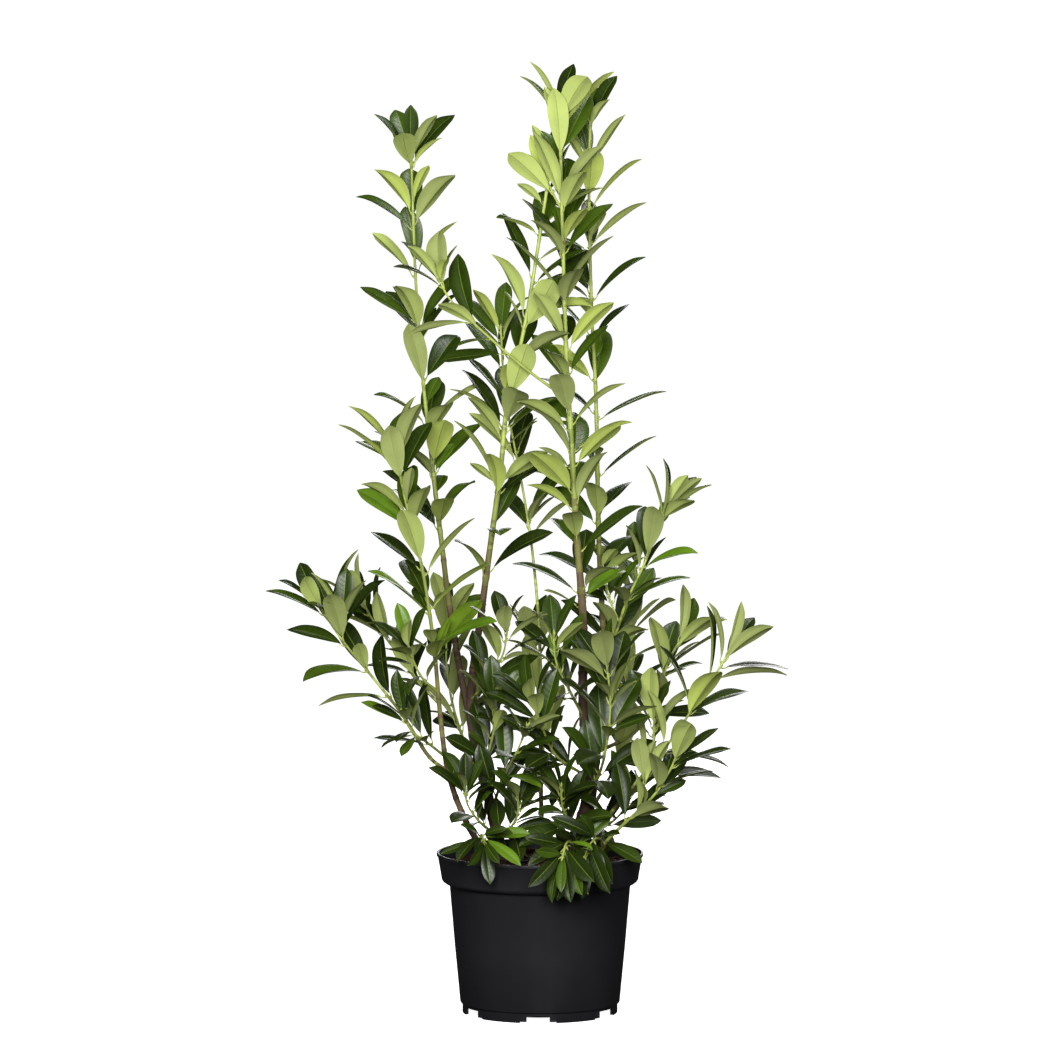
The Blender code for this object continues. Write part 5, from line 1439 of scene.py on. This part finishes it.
def stem_finishes(settings):
    """The five colours of a stem, from old bark to this year's shoots."""
    barks = {"bark_old": settings.old_bark, "bark_brown": settings.bark, "bark_olive": settings.olive}
    shoots = {"shoot_green": settings.green, "shoot_fresh": settings.fresh}
    made = [bark_finish(name, tuple(tint)) for name, tint in barks.items()]
    return made + [plain_finish(name, tuple(tint), darker(tuple(tint), 0.72), 60.0, 0.46)
                   for name, tint in shoots.items()]


def grow_limbs(settings, paths):
    """The bare trunks in one piece and the bare boughs in another."""
    for piece, trunks in (("trunk_bark", True), ("bough_bark", False)):
        gather, nodes = Gather(), []
        for seed, name in enumerate(BARE):
            parent, _, _, foot, _ = STEMS[name]
            if (parent is None) != trunks:
                continue
            path = paths[name]
            start, end = CLEAR if trunks else 0.0, BARE[name] * path.length
            stem_surface(gather, path, start, end + LIMB_LAP, girth(name, path),
                         TRUNK_ROUND if trunks else BOUGH_ROUND, settings.ring, settings.relief, seed + 1,
                         FLARE_SHARE * foot if trunks else 0.0, knot_marks(start, end, seed))
            nodes.append(LIMB_NAMES.get(name, "bough_" + name))
        limbs = gather.build(piece, stem_finishes(settings))
        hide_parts(*nodes)


def grow_shoots(settings, masses):
    """The green shoots inside the masses, their side twigs and the finer twigs."""
    gather = Gather()
    for seed, mass in enumerate(masses):
        start = mass.start - (SHOOT_LAP if mass.start else 0)
        lines = [(mass.path, start, mass.end, mass.radius, SHOOT_ROUND, SHOOT_RELIEF, 40 + seed)]
        lines += [(line, 0.0, line.length, thin, TWIG_ROUND, TWIG_RELIEF, 90 + seed)
                  for line, thin in mass.tubes]
        for line, foot, tip, radius, sides, relief, number in lines:
            knots = [leaf["mark"] for leaf in mass.leaves if leaf["line"] is line]
            stem_surface(gather, line, foot, tip, radius, sides, SHOOT_RING, relief * settings.relief,
                         number, knots=knots)
    shoots = gather.build("green_shoots", stem_finishes(settings))


# ------------------------------------------------------------------ leaves
def half_width(x):
    """The blade's half width along it, at most one: narrow foot, widest past the middle, drawn-out tip."""
    top = FOOT_TAPER / (FOOT_TAPER + TIP_TAPER)
    body = (x / top)**FOOT_TAPER * ((1 - x) / (1 - top))**TIP_TAPER
    return body * (1 - TIP_DRAWN * np.clip((x - TIP_FROM) / (1 - TIP_FROM), 0, 1))


def bend_along(leaf, x, along, rng):
    """(sideways, up, twist) of the blade's middle line: an arch, a curled tip, a sway and a twist."""
    u = along / leaf["length"]
    arch = leaf["camber"] * leaf["length"] * 4 * u * (1 - u)
    curl = leaf["length"] * rng.uniform(*CURL) * np.clip((x - CURL_FROM) / (1 - CURL_FROM), 0, 1) ** 2
    sway = leaf["length"] * rng.normal(0, SWAY) * 4 * u * (1 - u)
    return sway, arch - curl, rng.normal(0, TWIST) * (x - TWIST_AT)


def blade_rings(leaf, x, along, thickness, rng):
    """(along, across, up) of each ring before it is bent: the fold, the swell, the wave and the rib."""
    half = np.maximum(leaf["width"] / 2 * half_width(np.clip(x, 1e-4, 1 - 1e-4)), LEAST_HALF)[:, None]
    wave, turns = rng.uniform(*WAVE), rng.uniform(0, 2 * np.pi)
    v = np.array(COLUMNS)
    rib = np.abs(v) < RIB_EDGE
    across = half * v[None, :]
    lift = leaf["fold"] * np.abs(across) + SWELL * half * np.sin(np.pi * np.abs(v))[None, :]
    lift += wave * half * np.sin(WAVE_RATE * x[:, None] + turns + WAVE_SHIFT * np.sign(v)) * np.abs(v) ** 2
    lift -= RIB_SUNK * rib
    above = thickness / 2 * np.sqrt(np.maximum(1 - v**2, 0.02))
    below = above + RIB_PROUD * rib * np.linspace(1, RIB_FADE, ROWS)[:, None]
    long = np.broadcast_to(along[:, None], across.shape)
    upper = np.stack([long, across, lift + above], 2)
    lower = np.stack([long, across, lift - below], 2)
    return np.concatenate([upper, lower[:, -2:0:-1]], axis=1)


def blade(leaf, rng, stalk, thickness):
    """(points, leaf coordinates) of one curved blade as rings of an upper and a lower side."""
    even = np.linspace(0.0, 1.0, ROWS)
    x = ROW_EASE * (0.5 - 0.5 * np.cos(np.pi * even)) + (1 - ROW_EASE) * even
    along = stalk + (leaf["length"] - stalk) * x
    sway, rise, twist = bend_along(leaf, x, along, rng)
    ring = blade_rings(leaf, x, along, thickness, rng)
    c, s = np.cos(twist)[:, None], np.sin(twist)[:, None]
    y = ring[:, :, 1] * c - ring[:, :, 2] * s + sway[:, None]
    z = ring[:, :, 1] * s + ring[:, :, 2] * c + rise[:, None]
    side = np.cross(leaf["dir"], leaf["up"])
    points = (leaf["base"] + ring[:, :, 0, None] * leaf["dir"] + y[:, :, None] * side
              + z[:, :, None] * leaf["up"])
    columns = np.array(COLUMNS + COLUMNS[-2:0:-1])
    places = np.stack([np.broadcast_to(x[:, None], y.shape),
                       0.5 + 0.5 * np.broadcast_to(columns[None, :], y.shape)], 2)
    return points.reshape(-1, 3), places.reshape(-1, 2)


def blade_faces():
    """The faces of a blade's rings, split alike above and below, so that neither side cuts the other."""
    sides = 2 * len(COLUMNS) - 2
    faces = tube_faces(ROWS, sides)
    quads = faces[:(ROWS - 1) * sides]
    below = np.arange(len(quads)) % sides >= len(COLUMNS) - 1
    quads[below] = np.roll(quads[below], -1, axis=1)
    return faces


def blade_slots(upper, under):
    """The material slot of each face of a blade, in the order that tube_faces gives them."""
    count = len(COLUMNS)
    ring = np.full(2 * count - 2, under)
    ring[:count - 1] = upper
    ring[RIB_COLUMN] = LEAF_SLOTS.index("rib_upper")
    ring[count - 1 + RIB_COLUMN] = LEAF_SLOTS.index("rib_under")
    ends = np.full(2 * (2 * count - 4), LEAF_SLOTS.index("leaf_stalk"))
    return np.concatenate([np.tile(ring, ROWS - 1), ends])


def stalk_shape(leaf, stalk):
    """A stalk that leaves the stem at a steeper angle and bends into the blade's rib."""
    long = stalk + STALK_UNDER
    u = long / leaf["length"]
    foot, end = leaf["base"], leaf["base"] + leaf["dir"] * long
    end = end + leaf["up"] * (leaf["camber"] * leaf["length"] * 4 * u * (1 - u) - STALK_SUNK)
    side, rows = np.cross(leaf["up"], leaf["dir"]), []
    for t in np.linspace(0, 1, STALK_RINGS):
        middle = foot + (end - foot) * t - leaf["up"] * STALK_SAG * math.sin(math.pi * t)
        r = STALK_RADIUS * (STALK_TAPER[0] - STALK_TAPER[1] * t) * leaf["length"] / USUAL_LEAF
        rows += [middle + r * (x * side + STALK_FLAT * y * leaf["up"]) for x, y in circle(STALK_SIDES)]
    return rows, tube_faces(STALK_RINGS, STALK_SIDES)


def tone_of(mass, leaf, rng):
    """(upper, under) slots of a leaf: low, old leaves are deep above and grey below, partly for their age
    and partly as painted shade of the leaves above; young ones are bright.
    """
    high = min(max((leaf["base"][2] - HIGH_FROM) / HIGH_OVER, 0), 1)
    deep = min(max((DEEP_FROM - leaf["base"][2]) / DEEP_OVER, 0), 1)
    weights = np.array(TONES.get(mass.name, TONES["usual"]), float)
    weights = weights * (1 + np.array(HIGH_GAIN) * high) * (1 + np.array(DEEP_AGE_AND_SHADE_GAIN) * deep)
    if leaf["length"] < SHORT_LEAF * mass.size:
        weights = weights * np.array(YOUNG)
    upper = int(rng.choice(5, p=weights / weights.sum()))
    return upper, 5 + int(rng.choice(3, p=UNDERSIDES[upper]))


def leaf_finishes(settings):
    """A finish for each of LEAF_SLOTS, in its order."""
    s = settings
    rib, below, stalk = tuple(s.rib), tuple(s.rib_under), tuple(s.stalk)
    tints = (s.deep, s.dark, s.mid, s.fresh, s.bright, s.under_grey, s.under_pale, s.under_fresh)
    made = [blade_finish("leaf_" + name, tuple(tint), rib if k < 5 else stalk, k < 5)
            for k, (name, tint) in enumerate(zip(LEAF_SLOTS, tints))]
    return made + [plain_finish("leaf_rib", rib, darker(rib, 0.8), 40.0, 0.40),
                   plain_finish("leaf_rib_under", below, darker(below, 0.8), 40.0, 0.60, specular=0.2),
                   plain_finish("leaf_stalk", stalk, darker(stalk, 0.8), 40.0, 0.45)]


def clothe(settings, masses, piece, names):
    """All the leaves of some masses as one piece."""
    gather = Gather()
    faces = blade_faces()
    for mass in masses:
        if mass.name not in names:
            continue
        for number, leaf in enumerate(mass.leaves):
            rng = np.random.default_rng((number, mass.seed, 3))
            upper, under = tone_of(mass, leaf, rng)
            stalk = leaf["radius"] + settings.stalk_length * leaf["length"] / USUAL_LEAF
            points, places = blade(leaf, rng, stalk, settings.thickness)
            gather.add(points, faces, blade_slots(upper, under), places)
            gather.add(*stalk_shape(leaf, stalk), LEAF_SLOTS.index("leaf_stalk"))
    leaves = gather.build(piece, leaf_finishes(settings))
    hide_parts(*["foliage_" + name for name in names])


def bud_shape(foot, way, long, wide):
    """A small pointed bud of a few rings."""
    side = square_to(np.array([0.31, 0.57, 0.19]), way)
    other = np.cross(way, side)
    rows = [foot + way * long * share + wide * r * (x * side + y * other)
            for share, r in BUD_RINGS for x, y in circle(BUD_SIDES)]
    return rows, tube_faces(len(BUD_RINGS), BUD_SIDES)


def set_buds(masses):
    """A bud in the crook of each leaf and a longer one at the end of each shoot."""
    gather = Gather()
    for mass in masses:
        rng = np.random.default_rng((mass.seed, 8))
        for leaf in mass.leaves:
            t = leaf["line"].along(leaf["mark"])
            out = square_to(leaf["dir"], t)
            foot = leaf["base"] + out * leaf["radius"] * 0.9 + t * BUD_RISE
            gather.add(*bud_shape(foot, unit(t + BUD_LEAN * out), rng.uniform(*CROOK_BUD), THIN_BUD), 0)
        ends = [(line, line.length) for line, _ in mass.tubes]
        ends += [(mass.path, mass.end)] if mass.last else []
        for line, s in ends:
            way = unit(line.along(s) + 0.15 * rng.normal(size=3))
            gather.add(*bud_shape(line.at(s), way, rng.uniform(*END_BUD), THICK_BUD), 1)
            for k in range(3):
                out = line.out(s, 2.1 * k + rng.uniform(0, 0.8))
                way = unit(line.along(s) + rng.uniform(0.25, 0.6) * out)
                gather.add(*bud_shape(line.at(s), way, rng.uniform(*SIDE_BUD), THIN_BUD), 1)
    buds = gather.build("buds", [bpy.data.materials["shoot_green"], bpy.data.materials["shoot_fresh"]])


# ------------------------------------------------------------------ the stage
def make_floor(tint):
    """A wide floor plane that fades into the background, with a painted shadow under the pot where its glow
    is left out.
    """
    mesh = bpy.data.meshes.new("floor")
    work = bmesh.new()
    bmesh.ops.create_grid(work, x_segments=24, y_segments=24, size=FLOOR_SIZE / 2)
    work.to_mesh(mesh)
    work.free()
    floor = bpy.data.objects.new("floor", mesh)
    bpy.context.scene.collection.objects.link(floor)
    made = bpy.data.materials.new("floor_white")
    made.use_nodes = True
    shader = made.node_tree.nodes["Principled BSDF"]
    shader.inputs["Roughness"].default_value = 0.9
    shader.inputs["Specular IOR Level"].default_value = 0.0
    shader.inputs["Emission Color"].default_value = (1, 1, 1, 1)
    tree = Tree(made.node_tree)
    seen = tree.node("ShaderNodeLightPath").outputs["Is Camera Ray"]
    away = tree.node("ShaderNodeVectorMath", {"operation": "LENGTH"})
    tree.feed(away.inputs[0], tree.stretched((1, 1, 0)))
    # No glow under the pot: a painted shadow there.
    unshaded_floor = tree.spread(away.outputs["Value"], *POT_SHADOW_RADII)
    tree.feed(shader.inputs["Base Color"], tree.blend(seen, darker(tint, FLOOR_DIM), tint))
    glow = tree.spread(seen, 0, 1, *FLOOR_GLOW)
    tree.feed(shader.inputs["Emission Strength"], tree.maths("MULTIPLY", glow, unshaded_floor))
    give(floor, [made])


def make_sky(strength):
    """An even white all round: full white to look at, dimmer as light and nearly dark in reflections."""
    world = bpy.data.worlds.new("studio")
    bpy.context.scene.world = world
    world.use_nodes = True
    tree = Tree(world.node_tree)
    back = world.node_tree.nodes["Background"]
    back.inputs["Color"].default_value = (1, 1, 1, 1)
    ray = tree.node("ShaderNodeLightPath").outputs
    light = tree.spread(ray["Is Glossy Ray"], 0, 1, strength, SKY_SHEEN)
    tree.feed(back.inputs["Strength"], tree.maths("MAXIMUM", light, ray["Is Camera Ray"]))


def aim(obj, target):
    obj.rotation_euler = (Vector(target) - obj.location).to_track_quat("-Z", "Y").to_euler()


def make_light(name, place, target, size, power):
    data = bpy.data.lights.new(name, "AREA")
    data.shape, data.size, data.size_y, data.energy = "RECTANGLE", size[0], size[1], power
    light = bpy.data.objects.new(name, data)
    light.location = place
    bpy.context.scene.collection.objects.link(light)
    aim(light, target)


def make_camera(settings):
    data = bpy.data.cameras.new("camera")
    camera = bpy.data.objects.new("camera", data)
    camera.location = (CAMERA_SIDE, -settings.distance, settings.height)
    camera.rotation_euler = (math.pi / 2 - settings.tilt, 0, 0)
    data.lens, data.sensor_width = settings.lens, 36
    data.clip_end = 500
    bpy.context.scene.collection.objects.link(camera)
    bpy.context.scene.camera = camera


# ------------------------------------------------------------------ operators
class LAUREL_OT_pot(bpy.types.Operator):
    """Turn the nursery pot and cut its feet"""

    bl_idname = "laurel.pot"
    bl_label = "Make the pot"

    def execute(self, context):
        make_pot(context.scene.laurel_pot)
        return {"FINISHED"}


class LAUREL_OT_compost(bpy.types.Operator):
    """Fill the pot with composted bark and scatter chips over it"""

    bl_idname = "laurel.compost"
    bl_label = "Fill with compost"

    def execute(self, context):
        settings = context.scene.laurel_compost
        make_bed(settings)
        feet = [STEMS[name][2][0][:2] for name in STEMS if STEMS[name][0] is None]
        scatter_chips(settings, feet)
        return {"FINISHED"}


class LAUREL_OT_limbs(bpy.types.Operator):
    """Grow the bare trunks and boughs with their bark"""

    bl_idname = "laurel.limbs"
    bl_label = "Grow trunks and boughs"

    def execute(self, context):
        grow_limbs(context.scene.laurel_stems, grown()[0])
        return {"FINISHED"}


class LAUREL_OT_shoots(bpy.types.Operator):
    """Grow the green shoots and twigs inside the foliage"""

    bl_idname = "laurel.shoots"
    bl_label = "Grow green shoots"

    def execute(self, context):
        grow_shoots(context.scene.laurel_stems, grown()[1])
        return {"FINISHED"}


class LAUREL_OT_leaves(bpy.types.Operator):
    """Clothe every shoot with its leaves"""

    bl_idname = "laurel.leaves"
    bl_label = "Set the leaves"

    def execute(self, context):
        for piece, names in LEAF_PIECES.items():
            clothe(context.scene.laurel_leaves, grown()[1], piece, names)
        return {"FINISHED"}


class LAUREL_OT_buds(bpy.types.Operator):
    """Set a bud in each leaf's crook and at each shoot's end"""

    bl_idname = "laurel.buds"
    bl_label = "Set the buds"

    def execute(self, context):
        set_buds(grown()[1])
        return {"FINISHED"}


class LAUREL_OT_stage(bpy.types.Operator):
    """Lay the floor and set the lights and the camera"""

    bl_idname = "laurel.stage"
    bl_label = "Set the stage"

    def execute(self, context):
        settings = context.scene.laurel_stage
        make_floor(tuple(settings.floor))
        make_sky(settings.fill)
        for name, (place, target, size, part) in LIGHTS.items():
            make_light(name, place, target, size, part * settings.key)
        make_camera(settings)
        context.scene.view_settings.view_transform = "Standard"
        return {"FINISHED"}


class LAUREL_PT_panel(bpy.types.Panel):
    """Everything the potted laurel is made of"""

    bl_idname = "LAUREL_PT_panel"
    bl_label = "Potted cherry laurel"
    bl_space_type = "VIEW_3D"
    bl_region_type = "UI"
    bl_category = "Laurel"

    def draw(self, context):
        for step in STEPS:
            self.layout.operator(step.bl_idname)
        for name in SETTINGS:
            box = self.layout.box()
            settings = getattr(context.scene, name)
            for label in settings.__annotations__:
                box.prop(settings, label)


STEPS = (LAUREL_OT_pot, LAUREL_OT_compost, LAUREL_OT_limbs, LAUREL_OT_shoots, LAUREL_OT_leaves,
         LAUREL_OT_buds, LAUREL_OT_stage)
SETTINGS = {"laurel_pot": LaurelPotSettings, "laurel_compost": LaurelCompostSettings,
            "laurel_stems": LaurelStemSettings, "laurel_leaves": LaurelLeafSettings,
            "laurel_stage": LaurelStageSettings}


def register():
    for kind in (*SETTINGS.values(), *STEPS, LAUREL_PT_panel):
        bpy.utils.register_class(kind)
    for name, kind in SETTINGS.items():
        setattr(bpy.types.Scene, name, PointerProperty(type=kind))


def unregister():
    for name in SETTINGS:
        delattr(bpy.types.Scene, name)
    for kind in (LAUREL_PT_panel, *STEPS[::-1], *reversed(list(SETTINGS.values()))):
        bpy.utils.unregister_class(kind)


def main():
    register()
    bpy.ops.laurel.pot()
    bpy.ops.laurel.compost()
    bpy.ops.laurel.limbs()
    bpy.ops.laurel.shoots()
    bpy.ops.laurel.leaves()
    bpy.ops.laurel.buds()
    bpy.ops.laurel.stage()


if __name__ == "__main__":
    main()
